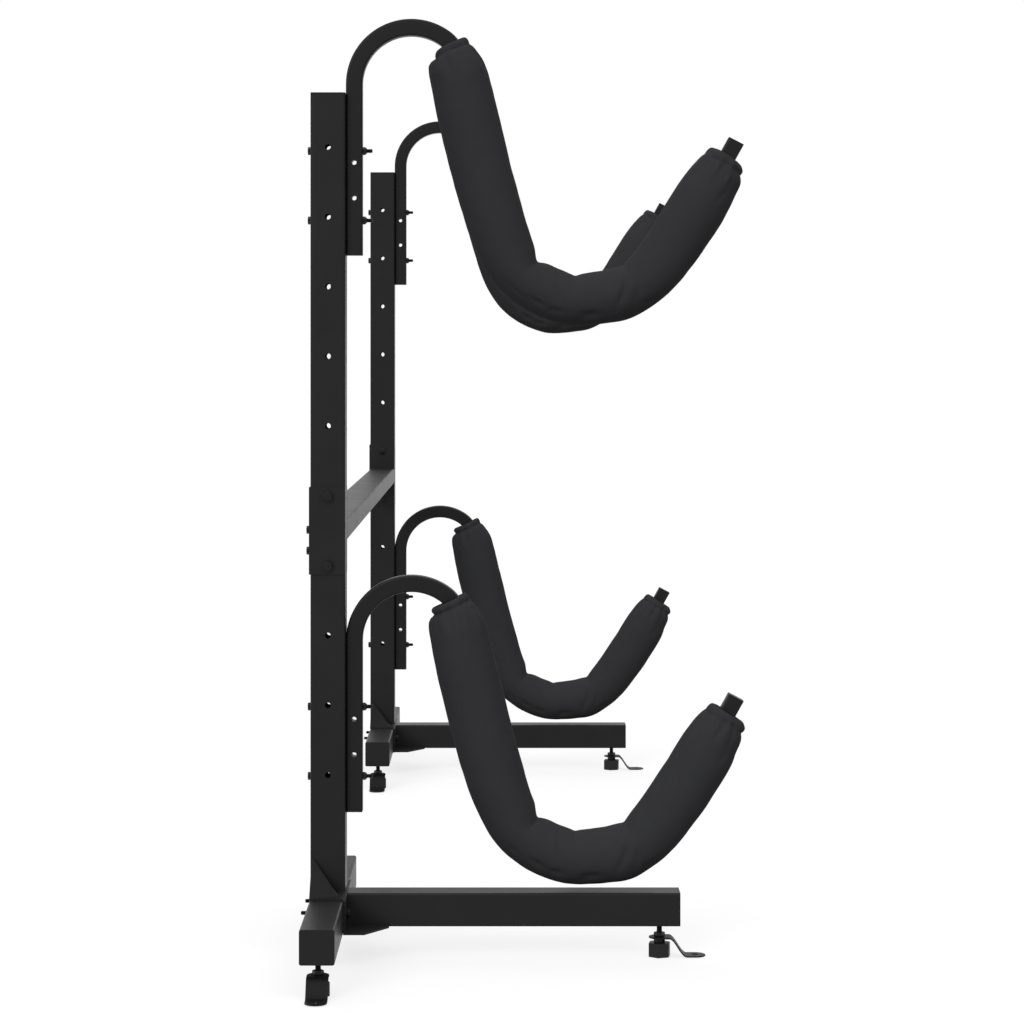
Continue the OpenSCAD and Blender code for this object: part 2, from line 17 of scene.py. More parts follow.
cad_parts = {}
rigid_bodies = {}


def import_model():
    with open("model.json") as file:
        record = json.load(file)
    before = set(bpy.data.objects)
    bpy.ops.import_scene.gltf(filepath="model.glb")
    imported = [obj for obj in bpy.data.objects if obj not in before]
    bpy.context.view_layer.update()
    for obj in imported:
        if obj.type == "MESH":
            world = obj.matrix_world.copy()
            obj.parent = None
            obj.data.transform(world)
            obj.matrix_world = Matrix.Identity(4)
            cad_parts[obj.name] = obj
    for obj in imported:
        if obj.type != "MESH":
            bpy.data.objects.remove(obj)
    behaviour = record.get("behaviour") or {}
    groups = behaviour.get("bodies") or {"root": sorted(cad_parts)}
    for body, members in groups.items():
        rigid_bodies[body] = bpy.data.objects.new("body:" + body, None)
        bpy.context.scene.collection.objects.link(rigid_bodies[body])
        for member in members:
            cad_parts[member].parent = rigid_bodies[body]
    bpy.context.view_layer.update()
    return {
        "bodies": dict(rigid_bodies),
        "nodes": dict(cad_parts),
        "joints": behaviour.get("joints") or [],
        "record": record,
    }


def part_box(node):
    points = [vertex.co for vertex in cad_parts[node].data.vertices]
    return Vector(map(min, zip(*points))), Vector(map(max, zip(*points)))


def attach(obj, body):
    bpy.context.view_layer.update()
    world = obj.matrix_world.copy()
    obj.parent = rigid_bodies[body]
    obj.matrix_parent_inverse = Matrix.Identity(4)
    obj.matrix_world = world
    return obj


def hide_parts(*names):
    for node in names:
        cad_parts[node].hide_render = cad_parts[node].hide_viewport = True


LOG = logging.getLogger("kayak_rack")
FRAME_BODY = "frame"
SIDES = ("right", "left")
TIERS = ("upper", "lower")
FOOT_SPOTS = ("front", "outer", "inner")
# Mark of the rounded edges, where a lighter colour is painted as an edge highlight.
PAINTED_EDGE_HIGHLIGHT = "painted_edge_highlight"
BORE = -1.0
SHARP_ANGLE = 32.0

Colour = tuple[float, float, float]


class Slot(Enum):
    """The record's material slots."""

    TUBE = "tube_coat"
    CAP = "cap_plastic"
    FABRIC = "pad_fabric"
    BOLT = "bolt_steel"
    TAB = "tab_steel"
    FOOT = "foot_plastic"


# Shader groups -----------------------------------------------------------------------------


@dataclass
class NodeGraph:
    """Short-hand for adding and linking nodes in one tree."""

    tree: bpy.types.NodeTree

    def add(self, kind: str, **values: object) -> bpy.types.Node:
        """Adds a node.

        Args:
            kind: Blender's name of the node type.
            values: Properties to set on the node.

        Returns:
            The new node.
        """
        node = self.tree.nodes.new(kind)
        for name, value in values.items():
            setattr(node, name, value)
        return node

    def link(self, start: bpy.types.NodeSocket, end: bpy.types.NodeSocket) -> None:
        """Links two sockets."""
        self.tree.links.new(start, end)

    def math(self, operation: str, *inputs: object) -> bpy.types.NodeSocket:
        """Adds a Math node.

        Args:
            operation: The node's operation.
            inputs: A number or a socket for each input.

        Returns:
            The node's output.
        """
        node = self.add("ShaderNodeMath", operation=operation)
        for socket, value in zip(node.inputs, inputs):
            if isinstance(value, bpy.types.NodeSocket):
                self.link(value, socket)
            else:
                socket.default_value = value
        return node.outputs[0]

    def mix(self, share: object, first: object, second: object) -> bpy.types.NodeSocket:
        """Adds a colour Mix node.

        Args:
            share: Share of the second colour, as a number or a socket.
            first: The first colour, as a socket or a tuple.
            second: The second colour, as a socket or a tuple.

        Returns:
            The mixed colour.
        """
        node = self.add("ShaderNodeMix", data_type="RGBA")
        for index, value in ((0, share), (6, first), (7, second)):
            if isinstance(value, bpy.types.NodeSocket):
                self.link(value, node.inputs[index])
            elif index:
                node.inputs[index].default_value = (*value, 1.0)
            else:
                node.inputs[index].default_value = value
        return node.outputs[2]


def new_group(name: str, inputs: dict[str, str], outputs: dict[str, str]) -> NodeGraph:
    """Makes an empty shader group with named sockets.

    Args:
        name: Name of the group.
        inputs: Socket type for each input's name.
        outputs: Socket type for each output's name.

    Returns:
        The group's graph, with its input and output nodes in place.
    """
    tree = bpy.data.node_groups.new(name, "ShaderNodeTree")
    for in_out, sockets in (("INPUT", inputs), ("OUTPUT", outputs)):
        for socket, kind in sockets.items():
            tree.interface.new_socket(socket, in_out=in_out, socket_type=kind)
    tree.nodes.new("NodeGroupInput")
    tree.nodes.new("NodeGroupOutput")
    return NodeGraph(tree)


@dataclass
class ShaderGroups:
    """The groups that the finishes share."""

    grain: bpy.types.NodeTree = field(init=False)
    tone: bpy.types.NodeTree = field(init=False)
    weave: bpy.types.NodeTree = field(init=False)

    def __post_init__(self) -> None:
        """Builds each group once."""
        self.grain = self._grain()
        self.tone = self._tone()
        self.weave = self._weave()

    @staticmethod
    def _grain() -> bpy.types.NodeTree:
        """Fine bumps of a given size, as a height.

        Returns:
            The group.
        """
        graph = new_group(
            "fine_grain",
            {"Vector": "NodeSocketVector", "Fineness": "NodeSocketFloat"},
            {"Height": "NodeSocketFloat"},
        )
        source, target = graph.tree.nodes[0], graph.tree.nodes[1]
        fine = graph.add("ShaderNodeTexNoise")
        fine.inputs["Detail"].default_value = 2.0
        graph.link(source.outputs["Vector"], fine.inputs["Vector"])
        graph.link(source.outputs["Fineness"], fine.inputs["Scale"])
        graph.link(fine.outputs["Fac"], target.inputs["Height"])
        return graph.tree

    @staticmethod
    def _tone() -> bpy.types.NodeTree:
        """Cloudy changes of colour and gloss, a painted highlight on the rounded edges and a trace of
        dust on top.

        Returns:
            The group.
        """
        graph = new_group(
            "surface_tone",
            {
                "Vector": "NodeSocketVector",
                "Painted Edge Highlight": "NodeSocketFloat",
                "Up": "NodeSocketFloat",
                "Colour": "NodeSocketColor",
                "Painted Edge Highlight Colour": "NodeSocketColor",
                "Dust Colour": "NodeSocketColor",
                "Dust": "NodeSocketFloat",
                "Roughness": "NodeSocketFloat",
                "Spread": "NodeSocketFloat",
            },
            {"Colour": "NodeSocketColor", "Roughness": "NodeSocketFloat"},
        )
        source, target = graph.tree.nodes[0], graph.tree.nodes[1]
        clouds = graph.add("ShaderNodeTexNoise")
        clouds.inputs["Scale"].default_value = 14.0
        clouds.inputs["Detail"].default_value = 4.0
        graph.link(source.outputs["Vector"], clouds.inputs["Vector"])
        cloud = graph.math("SUBTRACT", clouds.outputs["Fac"], 0.5)
        # Painted highlight: the marked rounded edges are mixed towards a lighter colour.
        painted_edge_highlight = graph.math("MULTIPLY", source.outputs["Painted Edge Highlight"], 0.6)
        painted_edge_highlight = graph.math("MULTIPLY", painted_edge_highlight, clouds.outputs["Fac"])
        edge_highlighted = graph.mix(painted_edge_highlight, source.outputs["Colour"], source.outputs["Painted Edge Highlight Colour"])
        upward = graph.math("MAXIMUM", source.outputs["Up"], 0.0)
        settled = graph.math("MULTIPLY", upward, source.outputs["Dust"])
        settled = graph.math("MULTIPLY", settled, clouds.outputs["Fac"])
        graph.link(
            graph.mix(settled, edge_highlighted, source.outputs["Dust Colour"]), target.inputs["Colour"]
        )
        change = graph.math("MULTIPLY", cloud, source.outputs["Spread"])
        rough = graph.math("ADD", source.outputs["Roughness"], change)
        graph.link(graph.math("ADD", rough, settled), target.inputs["Roughness"])
        return graph.tree

    @staticmethod
    def _weave() -> bpy.types.NodeTree:
        """Plain weave over a piece's own UV map, which is in metres.

        Returns:
            The group.
        """
        graph = new_group(
            "plain_weave",
            {"Vector": "NodeSocketVector", "Threads": "NodeSocketFloat"},
            {"Height": "NodeSocketFloat", "Gap": "NodeSocketFloat"},
        )
        source, target = graph.tree.nodes[0], graph.tree.nodes[1]
        split = graph.add("ShaderNodeSeparateXYZ")
        graph.link(source.outputs["Vector"], split.inputs["Vector"])
        angle = graph.math("MULTIPLY", source.outputs["Threads"], math.pi)
        warp = graph.math("SINE", graph.math("MULTIPLY", split.outputs["X"], angle))
        weft = graph.math("SINE", graph.math("MULTIPLY", split.outputs["Y"], angle))
        over = graph.math("MULTIPLY", warp, weft)
        crown = graph.math("MAXIMUM", graph.math("ABSOLUTE", warp), graph.math("ABSOLUTE", weft))
        lift = graph.math("MULTIPLY", over, 0.3)
        graph.link(graph.math("ADD", crown, lift), target.inputs["Height"])
        graph.link(graph.math("SUBTRACT", 1.0, crown), target.inputs["Gap"])
        return graph.tree


# Finishes ----------------------------------------------------------------------------------


@dataclass(frozen=True)
class Finish:
    """A hard finish: paint, plating or moulded plastic."""

    slot: Slot
    colour: Colour
    # Lighter colour painted on the rounded edges as a highlight.
    edge_highlight_colour: Colour
    roughness: float
    specular: float
    metallic: float = 0.0
    spread: float = 0.12
    fineness: float = 900.0
    bump: float = 0.12
    dust: float = 0.03
    dust_colour: Colour = (0.16, 0.16, 0.155)

    def material(self, groups: ShaderGroups) -> bpy.types.Material:
        """Builds the finish.

        Args:
            groups: The shared shader groups.

        Returns:
            The material.
        """
        material = bpy.data.materials.new(self.slot.value)
        material.use_nodes = True
        graph = NodeGraph(material.node_tree)
        shader = material.node_tree.nodes["Principled BSDF"]
        shader.inputs["Metallic"].default_value = self.metallic
        shader.inputs["Specular IOR Level"].default_value = self.specular
        place = graph.add("ShaderNodeTexCoord").outputs["Object"]
        tone = graph.add("ShaderNodeGroup", node_tree=groups.tone)
        normal = graph.add("ShaderNodeNewGeometry").outputs["Normal"]
        split = graph.add("ShaderNodeSeparateXYZ")
        graph.link(normal, split.inputs["Vector"])
        graph.link(place, tone.inputs["Vector"])
        graph.link(split.outputs["Z"], tone.inputs["Up"])
        # The mark of the rounded edges, where the painted highlight goes.
        painted_edge_highlight = graph.add("ShaderNodeAttribute", attribute_name=PAINTED_EDGE_HIGHLIGHT)
        graph.link(painted_edge_highlight.outputs["Fac"], tone.inputs["Painted Edge Highlight"])
        for name, value in (
            ("Colour", self.colour),
            ("Painted Edge Highlight Colour", self.edge_highlight_colour),
            ("Dust Colour", self.dust_colour),
        ):
            tone.inputs[name].default_value = (*value, 1.0)
        tone.inputs["Dust"].default_value = self.dust
        tone.inputs["Roughness"].default_value = self.roughness
        tone.inputs["Spread"].default_value = self.spread
        graph.link(tone.outputs["Colour"], shader.inputs["Base Color"])
        graph.link(tone.outputs["Roughness"], shader.inputs["Roughness"])
        grain = graph.add("ShaderNodeGroup", node_tree=groups.grain)
        graph.link(place, grain.inputs["Vector"])
        grain.inputs["Fineness"].default_value = self.fineness
        bump = graph.add("ShaderNodeBump")
        bump.inputs["Strength"].default_value = self.bump
        bump.inputs["Distance"].default_value = 0.0002
        graph.link(grain.outputs["Height"], bump.inputs["Height"])
        graph.link(bump.outputs["Normal"], shader.inputs["Normal"])
        return material


@dataclass(frozen=True)
class CoverFabric:
    """The tight woven cover of the pads."""

    slot: Slot = Slot.FABRIC
    colour: Colour = (0.042, 0.0425, 0.0455)
    gap_colour: Colour = (0.018, 0.018, 0.0193)
    dust_colour: Colour = (0.07, 0.07, 0.07)
    roughness: float = 0.9
    specular: float = 0.05
    threads: float = 1000.0
    weave_bump: float = 0.35
    cloud_bump: float = 0.25

    def material(self, groups: ShaderGroups) -> bpy.types.Material:
        """Builds the fabric.

        Args:
            groups: The shared shader groups.

        Returns:
            The material.
        """
        material = bpy.data.materials.new(self.slot.value)
        material.use_nodes = True
        graph = NodeGraph(material.node_tree)
        shader = material.node_tree.nodes["Principled BSDF"]
        shader.inputs["Specular IOR Level"].default_value = self.specular
        coordinates = graph.add("ShaderNodeTexCoord")
        weave = graph.add("ShaderNodeGroup", node_tree=groups.weave)
        weave.inputs["Threads"].default_value = self.threads
        graph.link(coordinates.outputs["UV"], weave.inputs["Vector"])
        tone = graph.add("ShaderNodeGroup", node_tree=groups.tone)
        graph.link(coordinates.outputs["Object"], tone.inputs["Vector"])
        gap = graph.math("MULTIPLY", weave.outputs["Gap"], 1.4)
        base = graph.mix(gap, self.colour, self.gap_colour)
        graph.link(base, tone.inputs["Colour"])
        # Colour for the painted edge highlight; the pads have no mark of rounded edges, so it stays
        # unused.
        tone.inputs["Painted Edge Highlight Colour"].default_value = (*self.gap_colour, 1.0)
        tone.inputs["Dust Colour"].default_value = (*self.dust_colour, 1.0)
        tone.inputs["Dust"].default_value = 0.05
        tone.inputs["Roughness"].default_value = self.roughness
        tone.inputs["Spread"].default_value = 0.1
        split = graph.add("ShaderNodeSeparateXYZ")
        graph.link(graph.add("ShaderNodeNewGeometry").outputs["Normal"], split.inputs["Vector"])
        graph.link(split.outputs["Z"], tone.inputs["Up"])
        painted_edge_highlight = graph.add("ShaderNodeAttribute", attribute_name=PAINTED_EDGE_HIGHLIGHT)
        graph.link(painted_edge_highlight.outputs["Fac"], tone.inputs["Painted Edge Highlight"])
        graph.link(tone.outputs["Colour"], shader.inputs["Base Color"])
        graph.link(tone.outputs["Roughness"], shader.inputs["Roughness"])
        creases = graph.add("ShaderNodeGroup", node_tree=groups.grain)
        creases.inputs["Fineness"].default_value = 55.0
        graph.link(coordinates.outputs["Object"], creases.inputs["Vector"])
        soft = graph.add("ShaderNodeBump")
        soft.inputs["Strength"].default_value = self.cloud_bump
        soft.inputs["Distance"].default_value = 0.002
        graph.link(creases.outputs["Height"], soft.inputs["Height"])
        bump = graph.add("ShaderNodeBump")
        bump.inputs["Strength"].default_value = self.weave_bump
        bump.inputs["Distance"].default_value = 0.0003
        graph.link(weave.outputs["Height"], bump.inputs["Height"])
        graph.link(soft.outputs["Normal"], bump.inputs["Normal"])
        graph.link(bump.outputs["Normal"], shader.inputs["Normal"])
        return material


# The second colour of each finish is its painted edge highlight, mixed in on the rounded edges.
FINISHES = (
    Finish(
        Slot.TUBE, (0.0098, 0.0098, 0.0104), (0.02, 0.02, 0.021), 0.4, 0.13, spread=0.08,
        bump=0.05,
    ),
    Finish(Slot.CAP, (0.0085, 0.0085, 0.0089), (0.016, 0.016, 0.016), 0.45, 0.15, fineness=1400.0),
    Finish(Slot.BOLT, (0.0065, 0.0065, 0.0068), (0.02, 0.02, 0.02), 0.34, 0.18, fineness=2200.0),
    Finish(Slot.TAB, (0.0045, 0.0045, 0.0047), (0.02, 0.02, 0.02), 0.45, 0.13, fineness=1600.0),
    Finish(Slot.FOOT, (0.0085, 0.0085, 0.0088), (0.02, 0.02, 0.02), 0.42, 0.2, fineness=1400.0),
)


# Shop work ---------------------------------------------------------------------------------


@dataclass
class Workshop:
    """Turns finished bmeshes into dressed pieces."""

    materials: dict[Slot, bpy.types.Material]
    frame: dict

    def piece(
        self, name: str, bm: bmesh.types.BMesh, slot: Slot, body: str, nodes: tuple[str, ...] = ()
    ) -> bpy.types.Object:
        """Makes an object of a bmesh and hangs it on a body.

        Args:
            name: Name of the piece.
            bm: Its shape in the row frame, which is used up.
            slot: Its finish.
            body: The body that it moves with.
            nodes: The solids that it stands for.

        Returns:
            The object.
        """
        for face in bm.faces:
            face.smooth = True
        for edge in bm.edges:
            if len(edge.link_faces) == 2:
                edge.smooth = math.degrees(edge.calc_face_angle(0.0)) < SHARP_ANGLE
        mesh = bpy.data.meshes.new(name)
        bm.to_mesh(mesh)
        bm.free()
        mesh.materials.append(self.materials[slot])
        obj = bpy.data.objects.new(name, mesh)
        bpy.context.scene.collection.objects.link(obj)
        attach(obj, body)
        if nodes:
            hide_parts(*nodes)
        LOG.info("%s: %d faces, rides on %s", name, len(mesh.polygons), body)
        return obj

    @staticmethod
    def even_shading(obj: bpy.types.Object) -> None:
        """Keeps the flats of a piece flat beside its rounded edges."""
        modifier = obj.modifiers.new("even_shading", "WEIGHTED_NORMAL")
        modifier.keep_sharp = True

    def softened(self, node: str, name: str, slot: Slot, body: str, width: float) -> bpy.types.Object:
        """Makes a piece like a solid, with its sharp edges rounded.

        Args:
            node: The solid.
            name: Name of the piece.
            slot: Its finish.
            body: The body that it moves with.
            width: Width of the rounding.

        Returns:
            The object.
        """
        bm = bmesh.new()
        bm.from_mesh(self.frame["nodes"][node].data)
        bmesh.ops.remove_doubles(bm, verts=bm.verts, dist=1e-6)
        bmesh.ops.dissolve_limit(
            bm, angle_limit=math.radians(0.5), verts=bm.verts, edges=bm.edges
        )
        # Marks the verts made by the rounding, which get the painted edge highlight.
        layer = bm.verts.layers.float.new(PAINTED_EDGE_HIGHLIGHT)
        edges = [
            edge
            for edge in bm.edges
            if len(edge.link_faces) == 2 and math.degrees(edge.calc_face_angle(0.0)) > SHARP_ANGLE
        ]
        made = bmesh.ops.bevel(
            bm, geom=edges, offset=width, offset_type="OFFSET", segments=2, profile=0.5,
            affect="EDGES", clamp_overlap=True, material=-1,
        )
        for vert in made["verts"]:
            vert[layer] = 1.0
        obj = self.piece(name, bm, slot, body, (node,))
        self.even_shading(obj)
        return obj


def aimed(at: Vector, direction: Vector) -> Matrix:
    """Matrix that puts the origin at a point and turns +Z to a direction.

    Args:
        at: The point.
        direction: Where +Z goes.

    Returns:
        The matrix.
    """
    return Matrix.Translation(at) @ direction.to_track_quat("Z", "Y").to_matrix().to_4x4()


def add_prism(
    bm: bmesh.types.BMesh, place: Matrix, radius: float, height: float, sides: int, rounding: float
) -> None:
    """Adds a prism or disc that stands on the place's origin, with rounded ends.

    Args:
        bm: The mesh that it goes into.
        place: Where it stands, along its +Z.
        radius: Radius of its corners.
        height: Its height.
        sides: Number of its sides.
        rounding: Width of the rounding of both rims.
    """
    made = bmesh.ops.create_cone(
        bm, cap_ends=True, segments=sides, radius1=radius, radius2=radius, depth=height,
        matrix=place @ Matrix.Translation((0, 0, height / 2)),
    )
    axis = place.to_3x3() @ Vector((0, 0, 1))
    own = set(made["verts"])
    rims = [
        edge
        for edge in bm.edges
        if edge.verts[0] in own and abs((edge.verts[1].co - edge.verts[0].co).dot(axis)) < 1e-6
    ]
    bmesh.ops.bevel(
        bm, geom=rims, offset=rounding, offset_type="OFFSET", segments=2, profile=0.5,
        affect="EDGES", clamp_overlap=True, material=-1,
    )


def add_spun(
    bm: bmesh.types.BMesh, place: Matrix, profile: list[tuple[float, float]], steps: int
) -> None:
    """Adds a shape that is round about the place's +Z.

    Args:
        bm: The mesh that it goes into.
        place: Where its axis is.
        profile: Radius and height of each point, upwards, closed on the axis at both ends.
        steps: Number of steps in the turn.
    """
    own = bmesh.new()
    verts = [own.verts.new((r, 0, z)) for r, z in profile]
    edges = [own.edges.new(pair) for pair in zip(verts, verts[1:])]
    bmesh.ops.spin(
        own, geom=verts + edges, cent=(0, 0, 0), axis=(0, 0, 1), angle=math.tau, steps=steps,
        use_merge=True,
    )
    bmesh.ops.remove_doubles(own, verts=own.verts, dist=1e-7)
    bmesh.ops.recalc_face_normals(own, faces=own.faces)
    bmesh.ops.transform(own, matrix=place, verts=own.verts)
    mesh = bpy.data.meshes.new("spun")
    own.to_mesh(mesh)
    own.free()
    bm.from_mesh(mesh)
    bpy.data.meshes.remove(mesh)


# Bent tube ---------------------------------------------------------------------------------


@dataclass(frozen=True)
class Spot:
    """A point on a bent tube's middle line, with its heading up from +Y."""

    y: float
    z: float
    heading: float

    @property
    def left(self) -> Vector:
        """Unit vector to the left of the heading, as seen from +X."""
        turned = math.radians(self.heading + 90)
        return Vector((0, math.cos(turned), math.sin(turned)))

    def place(self, x: float, tilt: float = 0.0) -> Matrix:
        """Matrix with +Z along the heading and +Y to its right.

        Args:
            x: Place along the rack.
            tilt: Extra turn about X.

        Returns:
            The matrix.
        """
        turn = Matrix.Rotation(math.radians(self.heading + tilt - 90), 4, "X")
        return Matrix.Translation((x, self.y, self.z)) @ turn


@dataclass(frozen=True)
class Run:
    """A straight stretch of tube, or an arc to the left, or to the right if radius is negative."""

    length: float
    radius: float = 0.0

    @classmethod
    def arc(cls, radius: float, turn: float) -> "Run":
        """An arc of a radius that turns by an angle."""
        return cls(abs(radius) * math.radians(turn), radius)

    @classmethod
    def bow(cls, length: float, turn: float) -> "Run":
        """A long stretch that turns left a little."""
        return cls(length, length / math.radians(turn))

    @property
    def turn(self) -> float:
        """Angle that the stretch turns by, positive to the left."""
        return math.degrees(self.length / self.radius) if self.radius else 0.0

    def after(self, spot: Spot, length: float) -> Spot:
        """Where a distance along this stretch leads.

        Args:
            spot: The start of the stretch.
            length: The distance.

        Returns:
            The place reached.
        """
        a = math.radians(spot.heading)
        if not self.radius:
            return Spot(spot.y + length * math.cos(a), spot.z + length * math.sin(a), spot.heading)
        b = a + length / self.radius
        return Spot(
            spot.y + self.radius * (math.sin(b) - math.sin(a)),
            spot.z - self.radius * (math.cos(b) - math.cos(a)),
            math.degrees(b),
        )


@dataclass(frozen=True)
class ArmShape:
    """Sizes of a padded J arm, which is one bent square tube."""

    side: float = 0.024
    corner: float = 0.0032
    tail: float = 0.0485
    bolt_pitch: float = 0.1
    hook_rise: float = 0.0955
    hook_radius: float = 0.082
    hook_turn: float = 126.5
    shoulder_radius: float = 0.046
    limb_lean: float = 9.0
    limb_bow: float = 8.0
    neck: float = 0.011
    inner_limb: float = 0.2625
    cradle_inner_radius: float = 0.116
    cradle_level: float = 0.016
    cradle_outer_radius: float = 0.135
    cradle_rise: float = 56.5
    outer_limb: float = 0.196
    outer_bow: float = 6.0
    hole_gap: float = 0.051
    hole_rise: float = 0.0075
    hole_diameter: float = 0.007
    bare_tip: float = 0.025
    mouth_turn: float = 29.0

    @property
    def shoulder_turn(self) -> float:
        """Angle from the end of the hook to the inner limb."""
        return 180 - self.hook_turn - self.limb_lean

    @property
    def hook(self) -> list[Run]:
        """The stretches before the full width of the pad."""
        return [
            Run(self.tail + self.bolt_pitch + self.hook_rise),
            Run.arc(-self.hook_radius, self.hook_turn),
            Run.arc(-self.shoulder_radius, self.shoulder_turn),
            Run(self.neck),
        ]

    @property
    def cradle(self) -> list[Run]:
        """The stretches that carry the boat."""
        return [
            Run.bow(self.inner_limb, self.limb_bow),
            Run.arc(self.cradle_inner_radius, 90 - self.limb_lean - self.limb_bow),
            Run(self.cradle_level),
            Run.arc(self.cradle_outer_radius, self.cradle_rise),
            Run.bow(self.outer_limb, self.outer_bow),
        ]

    @property
    def runs(self) -> list[Run]:
        """All stretches."""
        return self.hook + self.cradle

    @property
    def pad_start(self) -> float:
        """Distance along the tube at which the pad starts."""
        mouth = self.shoulder_radius * math.radians(self.mouth_turn)
        return sum(run.length for run in self.hook) - self.neck - mouth

    @property
    def pad_length(self) -> float:
        """Length of the pad along the tube."""
        return sum(run.length for run in self.runs) - self.bare_tip - self.pad_start

    def spot(self, start: Spot, distance: float) -> Spot:
        """Finds a place along the tube.

        Args:
            start: The lower end of the tube.
            distance: How far from that end.

        Returns:
            The place.
        """
        for run in self.runs[:-1]:
            if distance <= run.length:
                return run.after(start, distance)
            start, distance = run.after(start, run.length), distance - run.length
        return self.runs[-1].after(start, distance)


@dataclass
class Arm:
    """One bent arm tube with its holes."""

    shape: ArmShape
    x: float
    foot: Spot
    bolt_heights: tuple[float, float]
    bolt_hole: float = 0.0066
    arc_step: float = 4.0

    def build(self) -> bmesh.types.BMesh:
        """Sweeps a rounded square along the arm.

        Returns:
            The closed bar.
        """
        shape, bm = self.shape, bmesh.new()
        turned = Matrix.Translation((self.x, self.foot.y, self.foot.z)) @ Matrix.Rotation(
            math.radians(45), 4, "Z"
        )
        bmesh.ops.create_circle(
            bm, cap_ends=True, segments=4, radius=shape.side / math.sqrt(2), matrix=turned
        )
        bmesh.ops.bevel(
            bm, geom=bm.verts[:], offset=shape.corner, offset_type="OFFSET", segments=4,
            profile=0.5, affect="VERTICES", material=-1,
        )
        edges, spot = bm.edges[:], self.foot
        for run in shape.runs:
            end = run.after(spot, run.length)
            if run.radius:
                middle = Vector((self.x, spot.y, spot.z)) + run.radius * spot.left
                steps = max(2, math.ceil(abs(run.turn) / self.arc_step))
                made = bmesh.ops.spin(
                    bm, geom=edges, cent=middle, axis=(1, 0, 0), angle=math.radians(run.turn),
                    steps=steps,
                )["geom_last"]
            else:
                made = bmesh.ops.extrude_edge_only(bm, edges=edges)["geom"]
                moved = [item for item in made if isinstance(item, bmesh.types.BMVert)]
                shift = (0, end.y - spot.y, end.z - spot.z)
                bmesh.ops.translate(bm, verts=moved, vec=shift)
            edges = [item for item in made if isinstance(item, bmesh.types.BMEdge)]
            spot = end
        bmesh.ops.edgeloop_fill(bm, edges=edges)
        bmesh.ops.recalc_face_normals(bm, faces=bm.faces)
        return bm

    def drills(self) -> bmesh.types.BMesh:
        """Cylinders where the arm has its holes.

        Returns:
            The cylinders.
        """
        bm, shape = bmesh.new(), self.shape
        middle = sum(self.bolt_heights) / 2 + shape.hole_rise
        for height in self.bolt_heights:
            self._drill(bm, height, Vector((0, 1, 0)), self.bolt_hole)
        for rise in (-0.5, 0.5):
            self._drill(bm, middle + rise * shape.hole_gap, Vector((1, 0, 0)), shape.hole_diameter)
        return bm

    def _drill(
        self, bm: bmesh.types.BMesh, height: float, direction: Vector, diameter: float
    ) -> None:
        """Adds one drill that passes right through the arm.

        Args:
            bm: The mesh that it goes into.
            height: Height of its axis.
            direction: Direction of its axis.
            diameter: Its diameter.
        """
        bmesh.ops.create_cone(
            bm, cap_ends=True, segments=24, radius1=diameter / 2, radius2=diameter / 2,
            depth=2 * self.shape.side,
            matrix=aimed(Vector((self.x, self.foot.y, height)), direction),
        )


def cut(obj: bpy.types.Object, drills: bmesh.types.BMesh) -> None:
    """Takes the drills out of an object's mesh.

    Args:
        obj: The object.
        drills: The shapes to take out, which are used up.
    """
    mesh = bpy.data.meshes.new("drills")
    drills.to_mesh(mesh)
    drills.free()
    tool = bpy.data.objects.new("drills", mesh)
    bpy.context.scene.collection.objects.link(tool)
    modifier = obj.modifiers.new("holes", "BOOLEAN")
    modifier.operation, modifier.solver, modifier.object = "DIFFERENCE", "EXACT", tool
    settle(obj)
    bpy.data.objects.remove(tool)
    bpy.data.meshes.remove(mesh)


def settle(obj: bpy.types.Object) -> None:
    """Applies all modifiers of an object to its mesh."""
    bpy.context.view_layer.update()
    graph = bpy.context.evaluated_depsgraph_get()
    mesh = bpy.data.meshes.new_from_object(obj.evaluated_get(graph))
    obj.modifiers.clear()
    old, obj.data = obj.data, mesh
    mesh.name = obj.name
    bpy.data.meshes.remove(old)


# Pads --------------------------------------------------------------------------------------


@dataclass(frozen=True)
class Girth:
    """How far a cover reaches from the tube's middle, at a distance along the pad."""

    run: float
    inner: float
    outer: float
    tilt: float = 0.0

    @property
    def reach(self) -> Vector:
        """What changes along the pad, as a vector."""
        return Vector((self.inner, self.outer, self.tilt))

    @property
    def radius(self) -> float:
        """Radius of the cover."""
        return (self.inner + self.outer) / 2


@dataclass(frozen=True)
class Crease:
    """A fold across the inside of a pad."""

    run: float
    depth: float
    width: float = 0.0185
    nip: float = 0.0018
    nip_width: float = 0.005


@dataclass(frozen=True)
class Fold:
    """A small fold or dent, alike on both cheeks of a pad.

    The side is measured across the cheek from its middle, outwards positive, and the lean from
    straight across the pad.
    """

    run: float
    side: float
    length: float
    width: float
    depth: float
    lean: float = 0.0

    def press(self, run: float, side: float) -> float:
        """Finds how deep the fold is at a place on the cheek.

        Args:
            run: Distance along the pad.
            side: Distance across the cheek.

        Returns:
            The depth.
        """
        ahead, aside = run - self.run, side - self.side
        reach = 3 * max(self.length, self.width)
        if abs(ahead) > reach:
            return 0.0
        lean = math.radians(self.lean)
        along = (ahead * math.sin(lean) + aside * math.cos(lean)) / self.length
        across = (ahead * math.cos(lean) - aside * math.sin(lean)) / self.width
        return self.depth * math.exp(-along * along - across * across)


